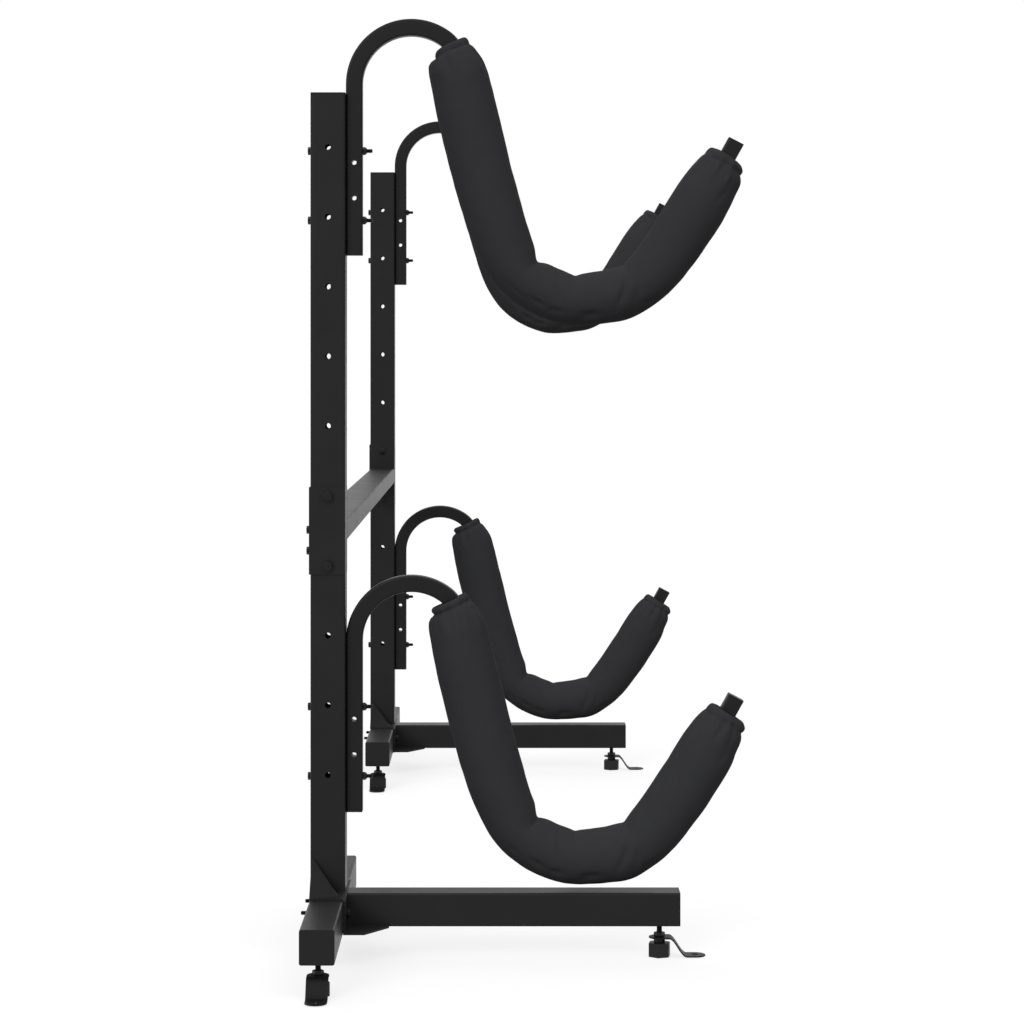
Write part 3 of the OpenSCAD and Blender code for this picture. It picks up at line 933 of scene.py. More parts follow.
@dataclass(frozen=True)
class PadShape:
    """Sizes of a foam sleeve with its cover: hems, gathers and creases."""

    middle: tuple[Girth, ...]
    tip_shift: float = 0.0
    tip_loss: float = 0.0
    lip: float = 0.0
    lip_run: float = 0.009
    radius: float = 0.0405
    bore: float = 0.0176
    sides: int = 60
    ring_step: float = 0.005
    bore_step: float = 0.03
    hook_hem: tuple[Girth, ...] = (
        Girth(-0.0008, 0.0188, 0.0182, -15.0),
        Girth(-0.0022, 0.0203, 0.0205, -15.0),
        Girth(-0.0012, 0.0222, 0.0238, -13.5),
        Girth(0.0012, 0.0232, 0.0266, -10.0),
        Girth(0.0045, 0.0234, 0.0288, -7.0),
        Girth(0.0075, 0.0226, 0.0296, -4.0),
        Girth(0.0092, 0.0217, 0.0301, -2.0),
        Girth(0.0103, 0.0224, 0.0320, -2.0),
        Girth(0.0120, 0.0252, 0.0358, -1.5),
        Girth(0.0150, 0.0272, 0.0386, 0.0),
        Girth(0.0185, 0.0287, 0.0406, 2.5),
        Girth(0.0230, 0.0312, 0.0422, 4.5),
        Girth(0.0275, 0.0333, 0.0431, 5.5),
        Girth(0.0330, 0.0358, 0.0437, 4.0),
        Girth(0.0390, 0.0377, 0.0441, 1.5),
    )
    tip_hem: tuple[Girth, ...] = (
        Girth(-0.0006, 0.0196, 0.0196, -4.0),
        Girth(-0.0022, 0.0222, 0.0214, -4.0),
        Girth(-0.0016, 0.0262, 0.0240, -5.0),
        Girth(0.0008, 0.0290, 0.0276, -5.5),
        Girth(0.0040, 0.0307, 0.0302, -4.5),
        Girth(0.0075, 0.0312, 0.0303, -4.0),
        Girth(0.0105, 0.0313, 0.0296, -4.0),
        Girth(0.0125, 0.0320, 0.0300, -4.0),
        Girth(0.0150, 0.0336, 0.0315, -3.0),
        Girth(0.0185, 0.0352, 0.0335, -2.0),
        Girth(0.0230, 0.0364, 0.0354, -1.0),
        Girth(0.0285, 0.0380, 0.0365, -0.5),
        Girth(0.0350, 0.0395, 0.0371, 0.0),
    )
    held_hem: int = 8
    gathers: tuple[tuple[int, float], ...] = ((8, 0.0011), (13, 0.0008), (21, 0.0004))
    gather_run: float = 0.055
    hem_run: float = 0.012
    hem_lump: float = 0.0016
    creases: tuple[Crease, ...] = (
        Crease(0.353, 0.0072), Crease(0.441, 0.0036), Crease(0.533, 0.0038)
    )
    folds: tuple[Fold, ...] = (
        Fold(0.417, -0.004, 0.022, 0.0046, 0.0022, 25.0),
        Fold(0.513, 0.000, 0.022, 0.0046, 0.0042, -39.0),
        Fold(0.530, 0.009, 0.018, 0.0055, 0.0026, -33.0),
        Fold(0.360, 0.024, 0.012, 0.0035, 0.0018, 90.0),
        Fold(0.392, 0.020, 0.010, 0.0036, 0.0026, 84.0),
        Fold(0.417, 0.022, 0.009, 0.0042, 0.0024, 96.0),
        Fold(0.463, 0.024, 0.012, 0.0050, 0.0032, 90.0),
        Fold(0.448, 0.031, 0.011, 0.0035, 0.0014, 96.0),
        Fold(0.538, 0.030, 0.011, 0.0040, 0.0015, 84.0),
        Fold(0.709, 0.021, 0.010, 0.0045, 0.0014, 80.0),
        Fold(0.738, -0.020, 0.011, 0.0032, 0.0014, 90.0),
        Fold(0.741, -0.001, 0.011, 0.0034, 0.0015, 84.0),
        Fold(0.742, 0.012, 0.009, 0.0030, 0.0010, 78.0),
        Fold(0.357, -0.026, 0.010, 0.0040, 0.0012, -20.0),
        Fold(0.028, -0.012, 0.010, 0.0035, 0.0009, 90.0),
        Fold(0.030, 0.010, 0.012, 0.0040, 0.0008, 84.0),
    )
    slack: float = 1.035
    gather_slack: float = 0.3
    most: float = 0.0045


LOWER_PAD = PadShape(
    (
        Girth(0.050, 0.0393, 0.0447),
        Girth(0.088, 0.0423, 0.0447),
        Girth(0.130, 0.0441, 0.0431),
        Girth(0.200, 0.0452, 0.0417),
        Girth(0.270, 0.0455, 0.0392),
        Girth(0.312, 0.0453, 0.0357),
        Girth(0.354, 0.0436, 0.0355),
        Girth(0.396, 0.0423, 0.0360),
        Girth(0.438, 0.0420, 0.0387),
        Girth(0.480, 0.0409, 0.0383),
        Girth(0.508, 0.0406, 0.0418),
        Girth(0.540, 0.0412, 0.0398),
        Girth(0.578, 0.0434, 0.0378),
        Girth(0.620, 0.0429, 0.0404),
        Girth(0.676, 0.0413, 0.0420),
        Girth(0.704, 0.0407, 0.0408),
    ),
    tip_shift=-0.0007,
    lip=0.007,
)
UPPER_PAD = PadShape(
    (
        Girth(0.050, 0.0405, 0.0440),
        Girth(0.088, 0.0435, 0.0441),
        Girth(0.130, 0.0446, 0.0426),
        Girth(0.200, 0.0452, 0.0409),
        Girth(0.270, 0.0458, 0.0384),
        Girth(0.312, 0.0456, 0.0345),
        Girth(0.354, 0.0438, 0.0324),
        Girth(0.396, 0.0426, 0.0324),
        Girth(0.438, 0.0420, 0.0346),
        Girth(0.480, 0.0428, 0.0338),
        Girth(0.508, 0.0426, 0.0352),
        Girth(0.550, 0.0427, 0.0340),
        Girth(0.592, 0.0441, 0.0353),
        Girth(0.620, 0.0438, 0.0371),
        Girth(0.676, 0.0441, 0.0392),
        Girth(0.704, 0.0431, 0.0381),
    ),
    tip_shift=0.0006,
    tip_loss=0.0012,
)


def through(rows: list[Girth], run: float) -> Girth:
    """Finds a place on the smooth curve through some girths.

    Args:
        rows: The girths, in order.
        run: Distance along the pad.

    Returns:
        The girth there.
    """
    last = len(rows) - 1
    index = max(0, min(last - 1, sum(row.run <= run for row in rows) - 1))
    before, low, high, after = (rows[max(0, min(last, index + step))] for step in (-1, 0, 1, 2))
    span = high.run - low.run
    share = max(0.0, min(1.0, (run - low.run) / span))
    leaving = (high.reach - before.reach) * span / (high.run - before.run)
    arriving = (after.reach - low.reach) * span / (after.run - low.run)
    square, cube = share * share, share * share * share
    reach = (
        low.reach * (2 * cube - 3 * square + 1)
        + leaving * (cube - 2 * square + share)
        + high.reach * (3 * square - 2 * cube)
        + arriving * (cube - square)
    )
    return Girth(run, *reach)


@dataclass
class Pad:
    """One padded sleeve on an arm."""

    shape: PadShape
    arm: ArmShape
    x: float
    foot: Spot
    seed: int
    full: float = field(init=False)
    rows: list[Girth] = field(init=False)

    def __post_init__(self) -> None:
        """Works out the length of the pad and its girths."""
        self.full, shape = self.arm.pad_length, self.shape
        thin, shift = shape.tip_loss, shape.tip_shift
        tip = [
            Girth(
                self.full - row.run, row.inner - thin + shift, row.outer - thin - shift, row.tilt
            )
            for row in reversed(shape.tip_hem)
        ]
        hook = [
            Girth(
                row.run,
                row.inner,
                row.outer + shape.lip * math.exp(-((row.run / shape.lip_run) ** 2)),
                row.tilt,
            )
            for row in shape.hook_hem
        ]
        self.rows = [*hook, *shape.middle, *tip]

    def rings(self) -> list[tuple[Girth, bool]]:
        """Rings of the cover from the hook's mouth to the tip's.

        Returns:
            The girth of each and whether the cover is held there.
        """
        shape = self.shape
        hook, tip = len(shape.hook_hem), len(shape.tip_hem)
        low, high = self.rows[hook - 1].run, self.rows[-tip].run
        count = round((high - low) / shape.ring_step)
        start = [(row, index < shape.held_hem) for index, row in enumerate(self.rows[:hook])]
        middle = [
            (through(self.rows, low + (high - low) * index / count), False)
            for index in range(1, count)
        ]
        end = [
            (row, index >= tip - shape.held_hem) for index, row in enumerate(self.rows[-tip:])
        ]
        return start + middle + end

    def girth(self, run: float) -> Girth:
        """Girth of the cover at a distance along the pad."""
        return through(self.rows, run)

    def place(self, girth: Girth) -> Matrix:
        """Place of the middle of a ring, with -Y towards the inside of the cradle."""
        spot = self.arm.spot(self.foot, self.arm.pad_start + girth.run)
        shift = Matrix.Translation((0, (girth.outer - girth.inner) / 2, 0))
        return spot.place(self.x, girth.tilt) @ shift

    def build(self) -> bmesh.types.BMesh:
        """Sweeps a ring along the arm and back through the bore.

        Returns:
            The closed sleeve, with a UV map in metres and layers for the rings.
        """
        shape, bm = self.shape, bmesh.new()
        run_layer = bm.verts.layers.float.new("run")
        turn_layer = bm.verts.layers.float.new("turn")
        held_layer = bm.verts.layers.float.new("held")
        stations = [(girth, held, girth.run) for girth, held in self.rings()]
        count = math.ceil(self.full / shape.bore_step)
        for index in range(count + 1):
            back = self.full * (count - index) / count
            tilt = stations[0][0].tilt if index == count else 0.0
            stations.append((Girth(back, shape.bore, shape.bore, tilt), True, BORE))
        first = self.place(stations[0][0]) @ Matrix.Scale(stations[0][0].radius, 4)
        bmesh.ops.create_circle(bm, segments=shape.sides, radius=1.0, matrix=first)
        edges, verts, last = bm.edges[:], bm.verts[:], first
        bm.verts.ensure_lookup_table()
        for index, vert in enumerate(bm.verts):
            vert[turn_layer] = index / shape.sides
        for number, (girth, held, run) in enumerate(stations):
            if number:
                here = self.place(girth) @ Matrix.Scale(girth.radius, 4)
                made = bmesh.ops.extrude_edge_only(bm, edges=edges)["geom"]
                verts = [item for item in made if isinstance(item, bmesh.types.BMVert)]
                edges = [item for item in made if isinstance(item, bmesh.types.BMEdge)]
                bmesh.ops.transform(bm, matrix=here @ last.inverted(), verts=verts)
                last = here
            for vert in verts:
                vert[run_layer] = run
                vert[held_layer] = float(held)
        opening = [edge for edge in bm.edges if edge.is_boundary]
        bmesh.ops.bridge_loops(bm, edges=opening)
        bmesh.ops.recalc_face_normals(bm, faces=bm.faces)
        self._map(bm, run_layer, turn_layer)
        self._sculpt(bm, run_layer, held_layer)
        return bm

    def _map(
        self,
        bm: bmesh.types.BMesh,
        run_layer: bmesh.types.BMLayerItem,
        turn_layer: bmesh.types.BMLayerItem,
    ) -> None:
        """Lays the UV map: round the pad and along it, in metres.

        Args:
            bm: The sleeve.
            run_layer: Layer with the distance along the pad.
            turn_layer: Layer with the place round the pad.
        """
        around = math.tau * self.shape.radius
        uv = bm.loops.layers.uv.new("cover")
        for face in bm.faces:
            turns = [loop.vert[turn_layer] for loop in face.loops]
            wraps = max(turns) - min(turns) > 0.5
            for loop, turn in zip(face.loops, turns):
                if wraps and turn < 0.5:
                    turn += 1
                loop[uv].uv = (turn * around, max(0.0, loop.vert[run_layer]))

    def _sculpt(
        self,
        bm: bmesh.types.BMesh,
        run_layer: bmesh.types.BMLayerItem,
        held_layer: bmesh.types.BMLayerItem,
    ) -> None:
        """Presses in the creases, the gathers at the hems and the cover's unevenness.

        Args:
            bm: The sleeve.
            run_layer: Layer with the distance along the pad.
            held_layer: Layer that marks what is held.
        """
        moves = {}
        for vert in bm.verts:
            run = vert[run_layer]
            if run == BORE:
                continue
            place = self.place(self.girth(run))
            local = place.inverted() @ vert.co
            outward = Vector((local.x, local.y, 0)).normalized()
            angle = math.atan2(local.y, local.x)
            shift = self.gather(run, angle)
            if not vert[held_layer]:
                shift += self.crease(run, -outward.y) + self.unevenness(vert.co)
            moves[vert] = (place.to_3x3() @ outward) * shift
        for vert, move in moves.items():
            vert.co += move

    def crease(self, run: float, inner: float) -> float:
        """Depth of the creases on the inside of the cradle.

        Args:
            run: Distance along the pad.
            inner: 1 on the inside of the cradle and -1 on the outside.

        Returns:
            How far the cover moves outwards.
        """
        share, depth = max(0.0, inner) ** 1.3, 0.0
        for crease in self.shape.creases:
            away = run - crease.run
            depth += crease.depth * math.exp(-((away / crease.width) ** 2))
            depth += crease.nip * math.exp(-((away / crease.nip_width) ** 2))
        return -share * depth

    def gather(self, run: float, angle: float) -> float:
        """Small pleats next to each hem and the uneven roll of the hem itself.

        Args:
            run: Distance along the pad.
            angle: Place round the pad, in radians.

        Returns:
            How far the cover moves outwards.
        """
        shape, shift = self.shape, 0.0
        for end, distance in ((0, run), (1, self.full - run)):
            phase = self.seed * 1.7 + end * 2.3
            if distance < shape.gather_run:
                fade = math.sin(math.pi * min(1.0, (distance + 0.004) / shape.gather_run))
                for count, height in shape.gathers:
                    shift += fade * height * math.sin(count * angle + phase + count)
            if distance < shape.hem_run:
                roll = math.sin(3 * angle + phase) + 0.7 * math.sin(5 * angle + 2 * phase)
                shift += shape.hem_lump * roll
        return shift

    def unevenness(self, place: Vector) -> float:
        """Soft lumps of the foam."""
        point = place * 22.0 + Vector((self.seed * 7.3, 0, 0))
        return 0.0009 * noise.noise(point) + 0.0005 * noise.noise(point * 2.7)

    def rest_scale(self, run: float, radius: float) -> float:
        """How much larger the cover was cut than the sleeve is here.

        Args:
            run: Distance along the pad.
            radius: Distance from the tube's middle.

        Returns:
            The ratio.
        """
        shape = self.shape
        nearest = min(run, self.full - run)
        share = max(0.0, min(1.0, 1 - nearest / shape.gather_run))
        wide = shape.slack * shape.radius / max(radius, shape.bore)
        return shape.slack + share * shape.gather_slack * (wide - shape.slack)

    def inflate(self, obj: bpy.types.Object, frames: int = 22) -> None:
        """Lets the cover swell and wrinkle as cloth under pressure.

        Args:
            obj: The sleeve, which gets the settled shape.
            frames: Number of steps.
        """
        mesh, shape = obj.data, self.shape
        held = obj.vertex_groups.new(name="held")
        runs = mesh.attributes["run"].data
        marks = mesh.attributes["held"].data
        obj.shape_key_add(name="Basis")
        cut_out = obj.shape_key_add(name="cut")
        before = []
        for vert in mesh.vertices:
            run = runs[vert.index].value
            before.append(vert.co.copy())
            if run == BORE or marks[vert.index].value > 0.5:
                held.add([vert.index], 1.0, "REPLACE")
            else:
                held.add([vert.index], 0.08, "REPLACE")
            if run != BORE:
                place = self.place(self.girth(run))
                local = place.inverted() @ vert.co
                scale = self.rest_scale(run, Vector(local[:2]).length)
                grown = Vector((local.x * scale, local.y * scale, local.z))
                cut_out.data[vert.index].co = place @ grown
        modifier = obj.modifiers.new("cover", "CLOTH")
        settings = modifier.settings
        settings.quality, settings.mass = 6, 0.2
        settings.tension_stiffness = settings.compression_stiffness = 12.0
        settings.shear_stiffness, settings.bending_stiffness = 4.0, 0.03
        settings.use_pressure, settings.uniform_pressure_force = True, 3.0
        settings.vertex_group_mass = "held"
        settings.rest_shape_key = cut_out
        settings.effector_weights.gravity = 0.0
        modifier.collision_settings.use_collision = False
        modifier.point_cache.frame_start, modifier.point_cache.frame_end = 1, frames
        scene = bpy.context.scene
        for number in range(1, frames + 1):
            scene.frame_set(number)
        settle(obj)
        for vert, place in zip(obj.data.vertices, before):
            move = vert.co - place
            if move.length > shape.most:
                vert.co = place + move.normalized() * shape.most
        scene.frame_set(1)

    def pinch(self, obj: bpy.types.Object) -> None:
        """Makes the settled cover finer and presses the small folds into it.

        Args:
            obj: The sleeve.
        """
        finer = obj.modifiers.new("cover", "SUBSURF")
        finer.levels = finer.render_levels = 1
        settle(obj)
        runs = obj.data.attributes["run"].data
        for vert, mark in zip(obj.data.vertices, runs):
            if mark.value < self.shape.hem_run:
                continue
            place = self.place(self.girth(mark.value))
            local = place.inverted() @ vert.co
            outward = Vector((local.x, local.y, 0)).normalized()
            depth = sum(fold.press(mark.value, local.y) for fold in self.shape.folds)
            vert.co -= (place.to_3x3() @ outward) * depth


def copied(obj: bpy.types.Object, name: str, shift: Vector) -> bmesh.types.BMesh:
    """Copies a finished mesh to another place.

    Args:
        obj: The piece to copy.
        name: Name for the log.
        shift: How far the copy lies from it.

    Returns:
        The copy's shape.
    """
    bm = bmesh.new()
    bm.from_mesh(obj.data)
    bmesh.ops.translate(bm, verts=bm.verts, vec=shift)
    LOG.debug("%s is cut like %s", name, obj.name)
    return bm


# Fasteners ---------------------------------------------------------------------------------


@dataclass(frozen=True)
class Fastener:
    """A hexagon bolt with its washers and lock nut."""

    thread: float
    across_flats: float
    head: float
    nut: float
    washer: float
    washer_thickness: float = 0.0012
    pitch: float = 0.001
    chamfer: float = 0.0007

    @property
    def hex_radius(self) -> float:
        """Radius of the corners of the head."""
        return self.across_flats / 2 / math.cos(math.pi / 6)

    def add_head(self, bm: bmesh.types.BMesh, place: Matrix) -> None:
        """Adds the head and its washer below the place's origin."""
        washer = place @ Matrix.Translation((0, 0, -self.washer_thickness))
        add_prism(bm, washer, self.washer / 2, self.washer_thickness, 36, 0.0002)
        head = washer @ Matrix.Translation((0, 0, -self.head))
        add_prism(bm, head, self.hex_radius, self.head, 6, self.chamfer)

    def add_nut(self, bm: bmesh.types.BMesh, place: Matrix, tip: float) -> None:
        """Adds the lock nut over the place's origin and the thread that shows past it.

        Args:
            bm: The mesh that they go into.
            place: Where the nut stands.
            tip: Length of the thread past the nut.
        """
        hexagon = 0.72 * self.nut
        add_prism(bm, place, self.hex_radius, hexagon, 6, self.chamfer)
        collar = 0.44 * self.across_flats
        add_spun(
            bm,
            place,
            [
                (0, hexagon - 0.0002),
                (collar, hexagon - 0.0002),
                (collar, hexagon + 0.5 * (self.nut - hexagon)),
                (0.8 * collar, self.nut),
                (self.thread / 2, self.nut),
                (0, self.nut - 0.0004),
            ],
            30,
        )
        self.add_thread(bm, place @ Matrix.Translation((0, 0, self.nut - 0.0005)), tip + 0.0005)

    def add_thread(self, bm: bmesh.types.BMesh, place: Matrix, length: float) -> None:
        """Adds a stretch of thread.

        Args:
            bm: The mesh that it goes into.
            place: Where it starts.
            length: Its length.
        """
        crest, root = self.thread / 2, self.thread / 2 - 0.55 * self.pitch
        count = max(1, round((length - self.pitch) / self.pitch))
        step = (length - self.pitch) / count
        profile = [(0, 0), (root, 0)]
        for index in range(count):
            profile += [(crest, (index + 0.4) * step), (crest, (index + 0.6) * step)]
            profile += [(root, (index + 1) * step)]
        profile += [(root - 0.3 * self.pitch, length), (0, length)]
        add_spun(bm, place, profile, 20)


M6 = Fastener(0.006, 0.010, 0.004, 0.006, 0.012)
M8 = Fastener(0.008, 0.013, 0.0053, 0.0065, 0.021, pitch=0.00125)


# Sub-assemblies ----------------------------------------------------------------------------


@dataclass
class UprightFrame:
    """One upright: post, foot, base tube, leg, bracket and their fasteners."""

    shop: Workshop
    side: str
    tube_rounding: float = 0.0005
    plate_rounding: float = 0.0007
    cap_rounding: float = 0.0009
    leg_bolt_tip: float = 0.008
    short_tip: float = 0.002
    bar_tip: float = 0.002
    screw_drop: float = 0.030

    def build(self) -> None:
        """Builds all of the frame."""
        for part in ("post", "base_tube", "leg"):
            self._soften(part, Slot.TUBE, self.tube_rounding)
        for part in ("post_foot", "leg_flange", "bar_bracket"):
            self._soften(part, Slot.TUBE, self.plate_rounding)
        for part in ("post_cap", "base_caps"):
            self._soften(part, Slot.CAP, self.cap_rounding)
        self._leg_bolts()
        self._bar_bolts()

    def _soften(self, part: str, slot: Slot, width: float) -> None:
        """Rounds the edges of one part."""
        name = f"{self.side}_{part}"
        self.shop.softened(name, f"{name}_shape", slot, FRAME_BODY, width)

    def _leg_bolts(self) -> None:
        """Makes the two bolts through the base tube."""
        name = f"{self.side}_leg_bolts"
        low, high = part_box(name)
        back = low.y + self.leg_bolt_tip + M6.nut
        front = high.y - M6.head - M6.washer_thickness
        height, middle = (low.z + high.z) / 2, (low.x + high.x) / 2
        reach = (high.x - low.x) / 2 - M6.washer / 2
        bm = bmesh.new()
        for side in (-1, 1):
            x = middle + side * reach
            M6.add_head(bm, aimed(Vector((x, front, height)), Vector((0, -1, 0))))
            M6.add_nut(
                bm, aimed(Vector((x, back, height)), Vector((0, -1, 0))), self.leg_bolt_tip
            )
        self._fasteners(name, bm)

    def _bar_bolts(self) -> None:
        """Makes the crossbar's two through bolts and two short screws."""
        name = f"{self.side}_bar_bolts"
        outward = Vector((1 if self.side == "right" else -1, 0, 0))
        saddle_low, saddle_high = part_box(f"{self.side}_bar_bracket")
        low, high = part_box(name)
        post_low, post_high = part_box(f"{self.side}_post")
        post = (post_low + post_high) / 2
        half = (saddle_high.x - saddle_low.x) / 2
        bm = bmesh.new()
        for height in (low.z + M8.washer / 2, high.z - M8.washer / 2):
            centre = Vector((post.x, post.y, height))
            M8.add_head(bm, aimed(centre + half * outward, -outward))
            M8.add_nut(bm, aimed(centre - half * outward, -outward), self.bar_tip)
        upper = (saddle_low.z + saddle_high.z) / 2
        for height in (upper, upper - self.screw_drop):
            place = Vector((post.x, saddle_low.y, height))
            M6.add_head(bm, aimed(place, Vector((0, 1, 0))))
        self._fasteners(name, bm)

    def _fasteners(self, name: str, bm: bmesh.types.BMesh) -> None:
        """Dresses a group of fasteners."""
        obj = self.shop.piece(f"{name}_set", bm, Slot.BOLT, FRAME_BODY, (name,))
        Workshop.even_shading(obj)


@dataclass
class ArmSet:
    """The four arms with their pads, plugs and bolts."""

    shop: Workshop
    arm: ArmShape = field(default_factory=ArmShape)
    pads: tuple[PadShape, ...] = (UPPER_PAD, LOWER_PAD)
    cap_rounding: float = 0.0009
    bolt_tip: float = 0.008

    def build(self) -> None:
        """Builds the arms on both frames."""
        for number, tier in enumerate(TIERS):
            done = None
            for side in SIDES:
                name = f"{tier}_{side}"
                low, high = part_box(f"{name}_arm")
                x = (low.x + high.x) / 2
                lower_bolt = self._bolt_heights(name)[0]
                foot = Spot(low.y + self.arm.side / 2, lower_bolt - self.arm.tail, 90.0)
                self._tube(name, x, foot)
                self._bolts(name, x)
                self.shop.softened(
                    f"{name}_arm_caps", f"{name}_arm_plugs", Slot.CAP, FRAME_BODY, self.cap_rounding
                )
                if done is None:
                    done = self._first_pad(name, x, foot, number)
                    first_x = x
                else:
                    shift = Vector((x - first_x, 0, 0))
                    self._cover(name, copied(done, name, shift))

    def _tube(self, name: str, x: float, foot: Spot) -> None:
        """Makes one arm tube."""
        heights = self._bolt_heights(name)
        arm = Arm(self.arm, x, foot, heights)
        obj = self.shop.piece(f"{name}_tube", arm.build(), Slot.TUBE, FRAME_BODY, (f"{name}_arm",))
        cut(obj, arm.drills())
        Workshop.even_shading(obj)

    def _bolt_heights(self, name: str) -> tuple[float, float]:
        """Heights of the two bolts of an arm."""
        low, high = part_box(f"{name}_arm_bolts")
        return low.z + M6.washer / 2, high.z - M6.washer / 2

    def _bolts(self, name: str, x: float) -> None:
        """Makes the two bolts of an arm."""
        low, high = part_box(f"{name}_arm_bolts")
        bm = bmesh.new()
        for height in self._bolt_heights(name):
            back = Vector((x, low.y + M6.head + M6.washer_thickness, height))
            front = Vector((x, high.y - self.bolt_tip - M6.nut, height))
            M6.add_head(bm, aimed(back, Vector((0, 1, 0))))
            M6.add_nut(bm, aimed(front, Vector((0, 1, 0))), self.bolt_tip)
        node = f"{name}_arm_bolts"
        obj = self.shop.piece(f"{node}_set", bm, Slot.BOLT, FRAME_BODY, (node,))
        Workshop.even_shading(obj)

    def _first_pad(self, name: str, x: float, foot: Spot, seed: int) -> bpy.types.Object:
        """Makes a pad and lets its cover settle.

        Args:
            name: Name of the arm.
            x: Place along the rack.
            foot: Lower end of the arm.
            seed: Which of the covers it is.

        Returns:
            The pad.
        """
        pad = Pad(self.pads[seed], self.arm, x, foot, seed)
        obj = self._cover(name, pad.build(), finish=False)
        pad.inflate(obj)
        pad.pinch(obj)
        self._finish_cover(obj)
        return obj

    def _cover(
        self, name: str, bm: bmesh.types.BMesh, finish: bool = True
    ) -> bpy.types.Object:
        """Dresses one pad.

        Args:
            name: Name of the arm.
            bm: The pad's shape.
            finish: Whether its shape is final.

        Returns:
            The pad.
        """
        obj = self.shop.piece(f"{name}_sleeve", bm, Slot.FABRIC, FRAME_BODY, (f"{name}_pad",))
        if finish:
            self._finish_cover(obj)
        return obj

    @staticmethod
    def _finish_cover(obj: bpy.types.Object) -> None:
        obj.data.shade_smooth()


@dataclass
class Crossbar:
    """The three pieces of the crossbar and its sleeves."""

    shop: Workshop
    rounding: float = 0.0009

    def build(self) -> None:
        """Rounds the cut ends of the crossbar's pieces."""
        for part in ("middle", "right", "left"):
            name = f"crossbar_{part}"
            self.shop.softened(name, f"{name}_shape", Slot.TUBE, FRAME_BODY, self.rounding)
        sleeves = self.shop.frame["nodes"]["crossbar_sleeves"]
        sleeves.data.materials.clear()
        sleeves.data.materials.append(self.shop.materials[Slot.BOLT])


